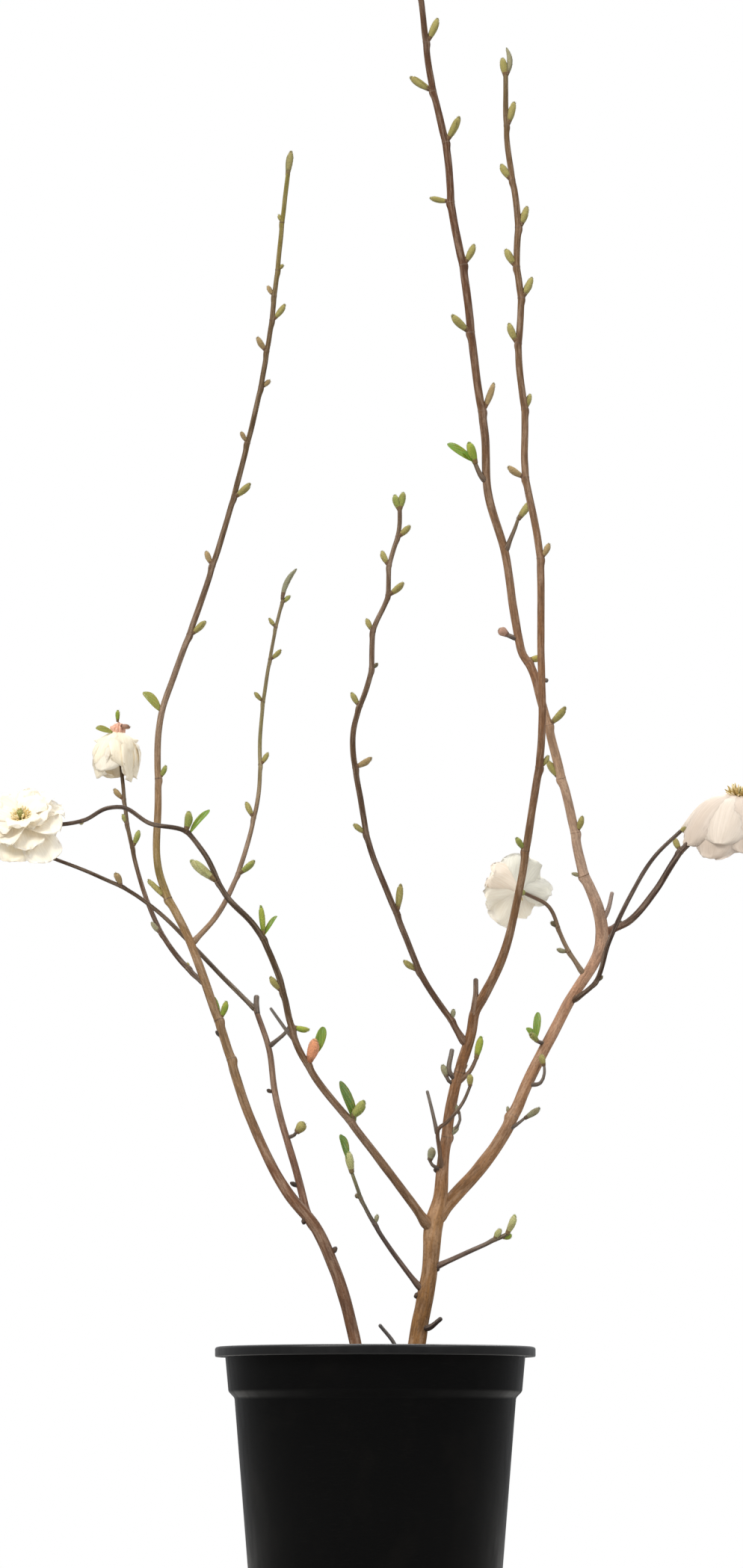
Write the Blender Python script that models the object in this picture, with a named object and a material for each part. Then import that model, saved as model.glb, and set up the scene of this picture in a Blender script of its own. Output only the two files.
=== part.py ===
"""A star magnolia in a black nursery pot, bare of summer leaf, with buds and four blossoms.

Units are metres and +Z is up. The origin is the centre of the pot's flat underside.
The front is -Y, and the tallest bough leaves the compost to the right, towards +X.
"""

import math
import random

import bmesh
import bpy
from mathutils import Matrix, Vector

# Nursery pot
POT_HEIGHT = 0.240
RIM_RADIUS = 0.140
BASE_RADIUS = 0.107
POT_WALL = 0.0018
POT_FLOOR = 0.0025
RIM_DEPTH = 0.009
RIM_THICKNESS = 0.0022
RIM_EASE = 0.0014
COLLAR_TOP_RADIUS = 0.1316
COLLAR_FOOT_RADIUS = 0.1282
COLLAR_FOOT = 0.2010
BODY_TOP_RADIUS = 0.1229
BODY_TOP = 0.1955
FLOOR_EDGE = 0.003
POT_SIDES = 56
DRAIN_HOLES = 8
DRAIN_RADIUS = 0.006
DRAIN_CIRCLE = 0.088

# Compost and the gap between touching pieces
COMPOST_LEVEL = 0.212
COMPOST_CLEARANCE = 0.0006
SEAT_GAP = 0.0003
GROUND = COMPOST_LEVEL + SEAT_GAP

# Limbs
LIMB_SIDES = 8
TWIG_SIDES = 6
RING_GAP = 0.022
TWIG_RING_GAP = 0.026
FLARE_HEIGHT = 0.022
FLARE_SHARE = 0.35

# Buds, leaves and blossoms
BUD_SHAPE = ((0.0, 0.45), (0.32, 1.0), (0.72, 0.72), (1.0, 0.12))
LEAF_SHAPE = ((0.0, 0.25), (0.3, 0.85), (0.6, 1.0), (0.85, 0.6), (1.0, 0.1))
PETAL_SHAPE = ((0.0, 0.22), (0.25, 0.6), (0.55, 1.0), (0.82, 0.86), (1.0, 0.3))
LEAF_THICKNESS = 0.0011
PETAL_THICKNESS = 0.0012
KNOB_RADIUS = 0.0058
KNOB_LENGTH = 0.015

LEFT = -1
RIGHT = 1


# Materials

def finish(name, colour, roughness, metallic=0.0):
    """A Principled material in one colour."""
    material = bpy.data.materials.new(name)
    material.use_nodes = True
    shader = material.node_tree.nodes["Principled BSDF"]
    shader.inputs["Base Color"].default_value = (*colour, 1.0)
    shader.inputs["Roughness"].default_value = roughness
    shader.inputs["Metallic"].default_value = metallic
    material.diffuse_color = (*colour, 1.0)
    return material


# Building blocks

def smooth_line(points, gap):
    """Points about a gap apart on a smooth curve through the given ones."""
    points = [Vector(point) for point in points]
    slopes = [(points[1] - points[0]).normalized()]
    for before, here, after in zip(points, points[1:], points[2:]):
        back = here - before
        ahead = after - here
        weighed = back * (ahead.length / back.length) + ahead * (back.length / ahead.length)
        slopes.append(weighed / (back.length + ahead.length))
    slopes.append((points[-1] - points[-2]).normalized())
    line = [points[0]]
    for index, (start, end) in enumerate(zip(points, points[1:])):
        third = (end - start).length / 3
        leave = start + slopes[index] * third
        arrive = end - slopes[index + 1] * third
        steps = max(1, round((end - start).length / gap))
        for step in range(1, steps + 1):
            t = step / steps
            s = 1 - t
            line.append(s**3 * start + 3 * s * s * t * leave + 3 * s * t * t * arrive + t**3 * end)
    return line


def headings(line):
    """The direction of a line at each of its points."""
    found = []
    for index in range(len(line)):
        before = line[max(index - 1, 0)]
        after = line[min(index + 1, len(line) - 1)]
        found.append((after - before).normalized())
    return found


def sweep(line, sections, facing=None, along=None):
    """A closed mesh whose cross-sections, lists of (across, up) pairs, follow a line."""
    mesh = bmesh.new()
    along = along or headings(line)
    up = Vector(facing) if facing else along[0].orthogonal()
    rings = []
    for index, middle in enumerate(line):
        if index:
            up.rotate(along[index - 1].rotation_difference(along[index]))
        up = (up - along[index] * up.dot(along[index])).normalized()
        across = up.cross(along[index])
        rings.append([mesh.verts.new(middle + across * a + up * u) for a, u in sections[index]])
    for lower, upper in zip(rings, rings[1:]):
        for corner in range(len(lower)):
            following = (corner + 1) % len(lower)
            mesh.faces.new((lower[corner], lower[following], upper[following], upper[corner]))
    mesh.faces.new(reversed(rings[0]))
    mesh.faces.new(rings[-1])
    bmesh.ops.recalc_face_normals(mesh, faces=mesh.faces)
    return as_mesh(mesh)


def as_mesh(built):
    """A plain mesh from a bmesh, which is freed."""
    mesh = bpy.data.meshes.new("shape")
    built.to_mesh(mesh)
    built.free()
    return mesh


def round_section(radius, sides):
    """A regular polygon as (across, up) pairs."""
    turns = [2 * math.pi * side / sides for side in range(sides)]
    return [(radius * math.cos(turn), radius * math.sin(turn)) for turn in turns]


def tube(line, radii, sides, along=None):
    """A closed round rod along a line."""
    return sweep(line, [round_section(radius, sides) for radius in radii], along=along)


def spindle(root, heading, length, width, shape=BUD_SHAPE):
    """A bud: a closed rod whose width follows a shape."""
    line = [root + heading * length * share for share, _ in shape]
    return tube(line, [width / 2 * share for _, share in shape], TWIG_SIDES)


def blade(line, width, thickness, facing, shape):
    """A leaf or petal: thin, thickest on its midrib, with its width following a shape."""
    sections = []
    for _, share in shape:
        half = width / 2 * share
        rise = thickness / 2 * (0.5 + 0.5 * share)
        sections.append([(half, 0), (0, rise), (-half, 0), (0, -rise)])
    return sweep(line, sections, facing)


class Limb:
    """A tapering limb: a smooth curve through a few points, and widths at places along it."""

    def __init__(self, points, widths, sides=LIMB_SIDES, gap=RING_GAP, level_foot=False):
        self.line = smooth_line(points, gap)
        self.along = headings(self.line)
        if level_foot:
            self.along[0] = Vector((0, 0, 1))
        self.sides = sides
        self.widths = widths
        self.places = [0.0]
        for start, end in zip(self.line, self.line[1:]):
            self.places.append(self.places[-1] + (end - start).length)

    @property
    def length(self):
        return self.places[-1]

    def radius(self, place):
        """Half the width at a distance along the limb."""
        for (start, wide), (end, narrow) in zip(self.widths, self.widths[1:]):
            if place <= end:
                share = (place - start) / (end - start)
                return (wide + (narrow - wide) * share) / 2
        return self.widths[-1][1] / 2

    def leg(self, place):
        """The index of the straight leg that holds a place, and how far along that leg it lies."""
        for index, (start, end) in enumerate(zip(self.places, self.places[1:])):
            if place <= end:
                return index, (place - start) / (end - start)
        return len(self.line) - 2, 1.0

    def at(self, place):
        """The point on the limb's centre line at a distance along it."""
        index, share = self.leg(place)
        return self.line[index].lerp(self.line[index + 1], share)

    def heading(self, place):
        """The limb's direction at a distance along it."""
        index, _ = self.leg(place)
        return (self.line[index + 1] - self.line[index]).normalized()

    def ring(self, place):
        """The index of the ring nearest to a place."""
        return min(range(len(self.places)), key=lambda index: abs(self.places[index] - place))

    def rod(self, start=0.0, end=None, swell=0.0):
        """The rings between two places as a closed mesh, its foot clear of the stretch below it."""
        first = self.ring(start)
        last = self.ring(self.length if end is None else end)
        line = [point.copy() for point in self.line[first:last + 1]]
        if first:
            line[0] += self.along[first] * SEAT_GAP
        radii = [self.radius(place) + swell for place in self.places[first:last + 1]]
        return tube(line, radii, self.sides, self.along[first:last + 1])

    def side_heading(self, place, side, lean, swing):
        """A direction that leans off the limb by an angle, to one side, swung to back or front."""
        along = self.heading(place)
        out = Vector((side * math.cos(swing), math.sin(swing), 0.25))
        out = (out - along * out.dot(along)).normalized()
        return along * math.cos(lean) + out * math.sin(lean)


# Putting nodes together

def node(name, mesh, material):
    """A named sub-part in the scene."""
    thing = bpy.data.objects.new(name, mesh)
    bpy.context.scene.collection.objects.link(thing)
    mesh.name = name
    mesh.materials.clear()
    mesh.materials.append(material)
    return thing


def combine(thing, meshes, operation):
    """Join meshes to an object, or cut them from it, with one Boolean on a collection."""
    if not meshes:
        return
    collection = bpy.data.collections.new("operands")
    bpy.context.scene.collection.children.link(collection)
    operands = [bpy.data.objects.new("operand", mesh) for mesh in meshes]
    for operand in operands:
        collection.objects.link(operand)
    step = thing.modifiers.new("combine", "BOOLEAN")
    step.operation = operation
    step.operand_type = "COLLECTION"
    step.collection = collection
    step.solver = "EXACT"
    evaluated = thing.evaluated_get(bpy.context.evaluated_depsgraph_get())
    result = bpy.data.meshes.new_from_object(evaluated)
    thing.modifiers.remove(step)
    thing.data = result
    for operand in operands:
        bpy.data.objects.remove(operand, do_unlink=True)
    bpy.data.collections.remove(collection)
    keep_main_body(result)


def keep_main_body(mesh):
    """Drop loose scraps and sealed hollows, and weld the slivers that a Boolean leaves."""
    built = bmesh.new()
    built.from_mesh(mesh)
    bmesh.ops.triangulate(built, faces=built.faces)
    bmesh.ops.dissolve_degenerate(built, edges=built.edges, dist=1e-6)
    bmesh.ops.triangulate(built, faces=built.faces)
    unseen = set(built.faces)
    bodies = []
    while unseen:
        body = {unseen.pop()}
        fresh = list(body)
        while fresh:
            for edge in fresh.pop().edges:
                joined = [face for face in edge.link_faces if face not in body]
                body.update(joined)
                fresh.extend(joined)
        unseen -= body
        bodies.append(body)
    main = max(bodies, key=len)
    scraps = [face for body in bodies if body is not main for face in body]
    bmesh.ops.delete(built, geom=scraps, context="FACES")
    built.to_mesh(mesh)
    built.free()


def plant_limb(name, limb, start, end, material, extras=(), carriers=()):
    """A stem, bough or shoot, with what grows on it fused on, cut clear of what carries it."""
    thing = node(name, limb.rod(start, end), material)
    combine(thing, list(extras), "UNION")
    combine(thing, [carrier.rod(swell=SEAT_GAP) for carrier in carriers], "DIFFERENCE")
    thing.data.materials.clear()
    thing.data.materials.append(material)
    thing.data.name = name
    return thing


def buds_along(limb, side, places, dice):
    """Buds on one side of a limb, given as distances along it and lengths."""
    found = []
    for place, length in places:
        heading = limb.side_heading(place, side, dice.uniform(0.45, 0.75), dice.uniform(-0.6, 0.6))
        found.append(spindle(limb.at(place), heading, length + limb.radius(place), 0.006))
    return found


def close_bud(limb, place, side, lean, length, width=0.006):
    """A long bud that lies close along a limb."""
    return spindle(limb.at(place), limb.side_heading(place, side, lean, 0.0), length, width)


def end_bud(limb, length, lean=0.0, side=RIGHT, width=0.0062):
    """A bud that stands on a limb's tip."""
    root = limb.at(limb.length - 0.003)
    return spindle(root, limb.side_heading(limb.length, side, lean, 0.0), length, width)


def young_leaf(root, heading, length, width):
    """A folded young leaf that stands at a bud, with its face to the front."""
    heading = Vector(heading).normalized()
    line = [root + heading * length * share for share, _ in LEAF_SHAPE]
    across = Vector((0, 1, 0)).cross(heading)
    return blade(line, width, LEAF_THICKNESS, across.cross(heading), LEAF_SHAPE)


def leaf_on(limb, place, side, lean, length, width, swing=0.0):
    """A young leaf straight off a limb."""
    return young_leaf(limb.at(place), limb.side_heading(place, side, lean, swing), length, width)


def spur(points, width, tip_width):
    """A short side twig or stub as a closed rod."""
    line = smooth_line(points, TWIG_RING_GAP)
    steps = len(line) - 1
    radii = [(width + (tip_width - width) * step / steps) / 2 for step in range(steps + 1)]
    return tube(line, radii, TWIG_SIDES)


def blossom(centre, facing, petals, length, width, spread, droop, dice):
    """A knob with broad petals round it, which open by an angle and bend back by another, first fast."""
    facing = Vector(facing).normalized()
    aside = facing.orthogonal().normalized()
    pieces = [spindle(centre - facing * KNOB_LENGTH * 0.4, facing, KNOB_LENGTH, 2 * KNOB_RADIUS)]
    for petal in range(petals):
        turn = 2 * math.pi * (petal + dice.uniform(-0.12, 0.12)) / petals
        out = Matrix.Rotation(turn, 3, facing) @ aside
        opening = spread + (0.22 if petal % 2 else -0.12) + dice.uniform(-0.08, 0.08)
        reach = length * dice.uniform(0.88, 1.0)
        line = [centre + out * 0.0015]
        for (start, _), (end, _) in zip(PETAL_SHAPE, PETAL_SHAPE[1:]):
            angle = opening + droop * math.sqrt((start + end) / 2)
            line.append(line[-1] + (facing * math.cos(angle) + out * math.sin(angle)) * reach * (end - start))
        rise = facing * math.sin(opening) - out * math.cos(opening)
        pieces.append(blade(line, width * dice.uniform(0.85, 1.0), PETAL_THICKNESS, rise, PETAL_SHAPE))
    return pieces


# Pot

def turned(profile, sides):
    """A solid of revolution from a closed outline of (radius, height) pairs."""
    mesh = bmesh.new()
    rings = []
    for radius, height in profile:
        if radius == 0:
            rings.append([mesh.verts.new((0, 0, height))] * sides)
            continue
        corners = round_section(radius, sides)
        rings.append([mesh.verts.new((x, y, height)) for x, y in corners])
    for lower, upper in zip(rings, rings[1:]):
        for side in range(sides):
            after = (side + 1) % sides
            corners = dict.fromkeys((lower[side], lower[after], upper[after], upper[side]))
            mesh.faces.new(corners)
    bmesh.ops.recalc_face_normals(mesh, faces=mesh.faces)
    return as_mesh(mesh)


def body_radius(height):
    """The pot body's outer radius at a height below the collar."""
    return BASE_RADIUS + (BODY_TOP_RADIUS - BASE_RADIUS) * height / BODY_TOP


def make_pot(material):
    """A thin black plastic pot: tapered body, wider collar, turned-down rim and drain holes."""
    hook = RIM_RADIUS - RIM_THICKNESS
    rim_foot = POT_HEIGHT - RIM_DEPTH
    rim_roof = POT_HEIGHT - POT_FLOOR
    mouth = COLLAR_TOP_RADIUS - POT_WALL
    profile = [
        (0, 0),
        (BASE_RADIUS - FLOOR_EDGE, 0),
        (body_radius(FLOOR_EDGE), FLOOR_EDGE),
        (BODY_TOP_RADIUS, BODY_TOP),
        (COLLAR_FOOT_RADIUS, COLLAR_FOOT),
        (COLLAR_TOP_RADIUS, rim_roof),
        (hook, rim_roof),
        (hook, rim_foot),
        (RIM_RADIUS, rim_foot),
        (RIM_RADIUS, POT_HEIGHT - RIM_EASE),
        (RIM_RADIUS - RIM_EASE, POT_HEIGHT),
        (mouth + RIM_EASE / 2, POT_HEIGHT),
        (mouth, POT_HEIGHT - RIM_EASE / 2),
        (COLLAR_FOOT_RADIUS - POT_WALL, COLLAR_FOOT),
        (BODY_TOP_RADIUS - POT_WALL, BODY_TOP),
        (body_radius(POT_FLOOR) - POT_WALL, POT_FLOOR),
        (0, POT_FLOOR),
    ]
    pot = node("pot", turned(profile, POT_SIDES), material)
    holes = []
    for hole in range(DRAIN_HOLES):
        turn = 2 * math.pi * (hole + 0.5) / DRAIN_HOLES
        middle = Vector((math.cos(turn), math.sin(turn), 0)) * DRAIN_CIRCLE
        line = [middle + Vector((0, 0, height)) for height in (-POT_FLOOR, 2 * POT_FLOOR)]
        holes.append(tube(line, [DRAIN_RADIUS] * 2, 12))
    combine(pot, holes, "DIFFERENCE")
    pot.data.materials.clear()
    pot.data.materials.append(material)
    pot.data.name = "pot"
    pot.data.shade_smooth()
    pot.data.set_sharp_from_angle(angle=math.radians(35))


def make_compost(material):
    """The compost that fills the pot to a finger's width below its rim."""
    floor = POT_FLOOR + SEAT_GAP
    inset = POT_WALL + COMPOST_CLEARANCE
    top_share = (COMPOST_LEVEL - COLLAR_FOOT) / (POT_HEIGHT - POT_FLOOR - COLLAR_FOOT)
    top_radius = COLLAR_FOOT_RADIUS + (COLLAR_TOP_RADIUS - COLLAR_FOOT_RADIUS) * top_share
    profile = [
        (0, floor),
        (body_radius(floor) - inset, floor),
        (BODY_TOP_RADIUS - inset, BODY_TOP),
        (COLLAR_FOOT_RADIUS - inset, COLLAR_FOOT),
        (top_radius - inset, COMPOST_LEVEL),
        (0, COMPOST_LEVEL),
    ]
    node("compost", turned(profile, POT_SIDES), material)


# Limb courses: each is one limb from its foot to its tip

def flared(width, widths):
    """Widths for a stem whose foot flares where it leaves the compost."""
    return ((0, width * (1 + FLARE_SHARE)), (FLARE_HEIGHT, width), *widths)


def left_course():
    """The left stem and the long shoot that it carries on into."""
    points = [(-0.012, -0.020, GROUND), (-0.017, -0.018, 0.241), (-0.035, -0.012, 0.306),
              (-0.053, -0.006, 0.345), (-0.075, 0.000, 0.372), (-0.109, 0.020, 0.438),
              (-0.136, 0.040, 0.519), (-0.164, 0.060, 0.598), (-0.193, 0.075, 0.669),
              (-0.195, 0.085, 0.724), (-0.194, 0.102, 0.815), (-0.181, 0.110, 0.849),
              (-0.157, 0.125, 0.920), (-0.127, 0.128, 1.017), (-0.101, 0.112, 1.138),
              (-0.087, 0.100, 1.247), (-0.082, 0.097, 1.290)]
    widths = ((0.16, 0.0100), (0.22, 0.0080), (0.43, 0.0068), (0.60, 0.0050), (1.15, 0.0030))
    return Limb(points, flared(0.0100, widths), level_foot=True)


def right_course():
    """The right stem, the thickest, and the centre right bough and shoot above it."""
    points = [(0.032, 0.000, GROUND), (0.036, 0.000, 0.241), (0.049, 0.000, 0.319),
              (0.051, 0.000, 0.345), (0.057, -0.002, 0.370), (0.059, -0.012, 0.397),
              (0.072, -0.030, 0.475), (0.084, -0.038, 0.513), (0.087, -0.042, 0.539),
              (0.105, -0.055, 0.564), (0.126, -0.090, 0.639), (0.134, -0.103, 0.690),
              (0.143, -0.117, 0.753), (0.143, -0.125, 0.843), (0.142, -0.130, 0.921),
              (0.131, -0.123, 1.001), (0.130, -0.118, 1.041), (0.125, -0.112, 1.095),
              (0.127, -0.105, 1.150), (0.124, -0.100, 1.184), (0.125, -0.097, 1.218),
              (0.118, -0.087, 1.300), (0.115, -0.080, 1.356)]
    widths = ((0.10, 0.0130), (0.16, 0.0108), (0.20, 0.0092), (0.34, 0.0080), (0.42, 0.0060),
              (0.75, 0.0056), (1.05, 0.0050), (1.19, 0.0034))
    return Limb(points, flared(0.0150, widths), level_foot=True)


def tall_course():
    """The right bough, which bends back at a knee and carries on to the top of the plant."""
    points = [(0.050, 0.000, 0.345), (0.072, 0.012, 0.378), (0.093, 0.020, 0.394),
              (0.114, 0.030, 0.428), (0.138, 0.045, 0.480), (0.170, 0.060, 0.542),
              (0.203, 0.080, 0.611), (0.200, 0.077, 0.629), (0.187, 0.070, 0.668),
              (0.176, 0.062, 0.721), (0.161, 0.055, 0.774), (0.148, 0.050, 0.817),
              (0.125, 0.040, 0.894), (0.116, 0.034, 0.947), (0.101, 0.030, 1.000),
              (0.098, 0.028, 1.054), (0.092, 0.027, 1.095), (0.081, 0.025, 1.203),
              (0.069, 0.024, 1.258), (0.066, 0.024, 1.299), (0.050, 0.021, 1.394),
              (0.043, 0.020, 1.435), (0.029, 0.020, 1.532)]
    widths = ((0.00, 0.0112), (0.08, 0.0104), (0.15, 0.0092), (0.28, 0.0086), (0.317, 0.0108),
              (0.345, 0.0096), (0.40, 0.0078), (0.58, 0.0068), (0.95, 0.0064), (1.05, 0.0054),
              (1.27, 0.0034))
    return Limb(points, widths)


def middle_course():
    """The middle bough, which crosses in front of the left stem to a blossom at the far left."""
    points = [(0.050, 0.000, 0.340), (0.037, -0.012, 0.358), (0.008, -0.028, 0.396),
              (-0.020, -0.042, 0.435), (-0.053, -0.055, 0.473), (-0.066, -0.062, 0.495),
              (-0.085, -0.080, 0.562), (-0.104, -0.092, 0.600), (-0.126, -0.100, 0.625),
              (-0.147, -0.105, 0.664), (-0.164, -0.108, 0.681), (-0.195, -0.110, 0.688),
              (-0.219, -0.110, 0.702), (-0.232, -0.110, 0.701), (-0.250, -0.105, 0.692),
              (-0.276, -0.100, 0.688), (-0.306, -0.105, 0.692)]
    widths = ((0.0, 0.0066), (0.13, 0.0060), (0.21, 0.0052), (0.35, 0.0042), (0.46, 0.0028),
              (0.58, 0.0024))
    return Limb(points, widths, TWIG_SIDES)


def centre_course():
    """The centre shoot, the one that stands nearest the front."""
    points = [(0.080, -0.035, 0.500), (0.064, -0.045, 0.525), (0.043, -0.062, 0.555),
              (0.025, -0.085, 0.595), (0.011, -0.100, 0.628), (-0.005, -0.115, 0.668),
              (-0.012, -0.128, 0.703), (-0.019, -0.148, 0.762), (-0.004, -0.158, 0.813),
              (-0.001, -0.160, 0.851), (0.010, -0.160, 0.877), (0.012, -0.158, 0.904),
              (0.021, -0.152, 0.944), (0.021, -0.150, 0.957)]
    return Limb(points, ((0.0, 0.0048), (0.22, 0.0044), (0.52, 0.0026)), TWIG_SIDES)


def inner_course():
    """The inner left bough, low on the left stem."""
    points = [(-0.059, 0.000, 0.353), (-0.067, 0.012, 0.385), (-0.089, 0.036, 0.466),
              (-0.094, 0.045, 0.503), (-0.106, 0.055, 0.539)]
    return Limb(points, ((0.0, 0.0056), (0.21, 0.0040)), TWIG_SIDES)


def outer_course():
    """The thin outer twig, which carries the inner left bough on and passes behind the left stem."""
    points = [(-0.106, 0.055, 0.539), (-0.135, 0.078, 0.569), (-0.161, 0.095, 0.597),
              (-0.193, 0.097, 0.629), (-0.216, 0.092, 0.646), (-0.249, 0.075, 0.661),
              (-0.304, 0.045, 0.680)]
    return Limb(points, ((0.0, 0.0034), (0.28, 0.0020)), TWIG_SIDES, TWIG_RING_GAP)


def left_side_course():
    """The left side shoot, from the node that tops the left stem."""
    points = [(-0.164, 0.060, 0.598), (-0.142, 0.085, 0.626), (-0.128, 0.110, 0.656),
              (-0.114, 0.135, 0.702), (-0.106, 0.155, 0.745), (-0.105, 0.175, 0.803),
              (-0.094, 0.190, 0.888), (-0.085, 0.200, 0.931)]
    return Limb(points, ((0.0, 0.0040), (0.2, 0.0028), (0.39, 0.0022)), TWIG_SIDES, TWIG_RING_GAP)


def left_flower_course(left):
    """The twig that holds a hanging blossom at the left."""
    points = [left.at(0.387), (-0.165, 0.075, 0.575), (-0.188, 0.100, 0.605),
              (-0.204, 0.120, 0.638), (-0.215, 0.130, 0.671), (-0.225, 0.135, 0.717),
              (-0.229, 0.140, 0.751), (-0.234, 0.140, 0.796)]
    return Limb(points, ((0.0, 0.0040), (0.28, 0.0020)), TWIG_SIDES, TWIG_RING_GAP)


def centre_flower_course(tall):
    """The grey twig off the right bough, with the blossom behind the centre right shoot."""
    points = [tall.at(0.275), (0.169, 0.064, 0.599), (0.153, 0.055, 0.633),
              (0.140, 0.045, 0.639), (0.129, 0.035, 0.643)]
    return Limb(points, ((0.0, 0.0028), (0.10, 0.0020)), TWIG_SIDES, TWIG_RING_GAP)


def right_flower_course():
    """The dark twig from the knee of the right bough to the blossom at the far right."""
    points = [(0.203, 0.080, 0.609), (0.227, 0.090, 0.621), (0.252, 0.100, 0.650),
              (0.274, 0.110, 0.684), (0.303, 0.118, 0.714), (0.325, 0.120, 0.733)]
    return Limb(points, ((0.0, 0.0048), (0.19, 0.0034)), TWIG_SIDES, TWIG_RING_GAP)


def dark_twig_course():
    """The thinnest right twig, which passes in front of the knee."""
    points = [(0.175, 0.060, 0.546), (0.196, 0.045, 0.564), (0.207, 0.040, 0.597),
              (0.227, 0.050, 0.640), (0.251, 0.070, 0.679), (0.274, 0.084, 0.702)]
    return Limb(points, ((0.0, 0.0034), (0.22, 0.0022)), TWIG_SIDES, TWIG_RING_GAP)


# Plant

def make_left_side(bark, shoot_bark, twig_bark):
    """The left stem with all that grows from it."""
    dice = random.Random(11)
    left = left_course()
    knot = 0.436
    plant_limb("left_stem", left, 0.0, knot, bark, [
        *buds_along(left, RIGHT, [(0.352, 0.017)], dice),
        leaf_on(left, 0.354, RIGHT, 0.25, 0.026, 0.005),
    ])
    extras = [
        *buds_along(left, RIGHT, [(0.589, 0.012), (0.731, 0.018), (0.866, 0.018), (0.969, 0.010),
                                  (1.031, 0.016)], dice),
        *buds_along(left, LEFT, [(0.800, 0.013), (0.917, 0.010), (1.002, 0.014), (1.053, 0.010)], dice),
        leaf_on(left, 0.475, LEFT, 0.25, 0.026, 0.006),
        leaf_on(left, 0.652, LEFT, 0.96, 0.025, 0.007),
        end_bud(left, 0.036, 0.10),
    ]
    plant_limb("left_shoot", left, knot, None, shoot_bark, extras)

    side = left_side_course()
    extras = [
        *buds_along(side, RIGHT, [(0.099, 0.016), (0.217, 0.012), (0.320, 0.011)], dice),
        *buds_along(side, LEFT, [(0.161, 0.014), (0.279, 0.009), (0.352, 0.009)], dice),
        end_bud(side, 0.032),
    ]
    plant_limb("left_side_shoot", side, 0.0, None, shoot_bark, extras, [left])

    inner = inner_course()
    stub = inner.at(inner.length)
    extras = [
        spindle(inner.at(0.076), inner.side_heading(0.076, RIGHT, 1.0, -0.4), 0.018, 0.009),
        spur([inner.at(0.158), (-0.092, 0.050, 0.518), (-0.088, 0.050, 0.524)], 0.0034, 0.0026),
    ]
    plant_limb("inner_left_bough", inner, 0.0, None, bark, extras, [left])

    outer = outer_course()
    extras = [
        *buds_along(outer, LEFT, [(0.180, 0.009)], dice),
        end_bud(outer, 0.012),
    ]
    plant_limb("outer_left_twig", outer, 0.0, None, twig_bark, extras, [inner])
    plant_stub("inner_stub", [stub, stub + Vector((0.0005, 0.001, 0.012))], 0.0042, 0.0040,
               twig_bark, [inner, outer])

    flowering = left_flower_course(left)
    extras = [
        *buds_along(flowering, LEFT, [(0.087, 0.010), (0.223, 0.012)], dice),
        *buds_along(flowering, RIGHT, [(0.178, 0.015)], dice),
        *blossom(flowering.at(flowering.length), (0.05, -0.1, 1.0), 9, 0.056, 0.028, 1.50, 1.90, dice),
        spindle(flowering.at(flowering.length), Vector((0.02, 0.05, 1.0)).normalized(), 0.022, 0.006),
    ]
    plant_limb("left_flowering_twig", flowering, 0.0, None, twig_bark, extras, [left])


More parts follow.
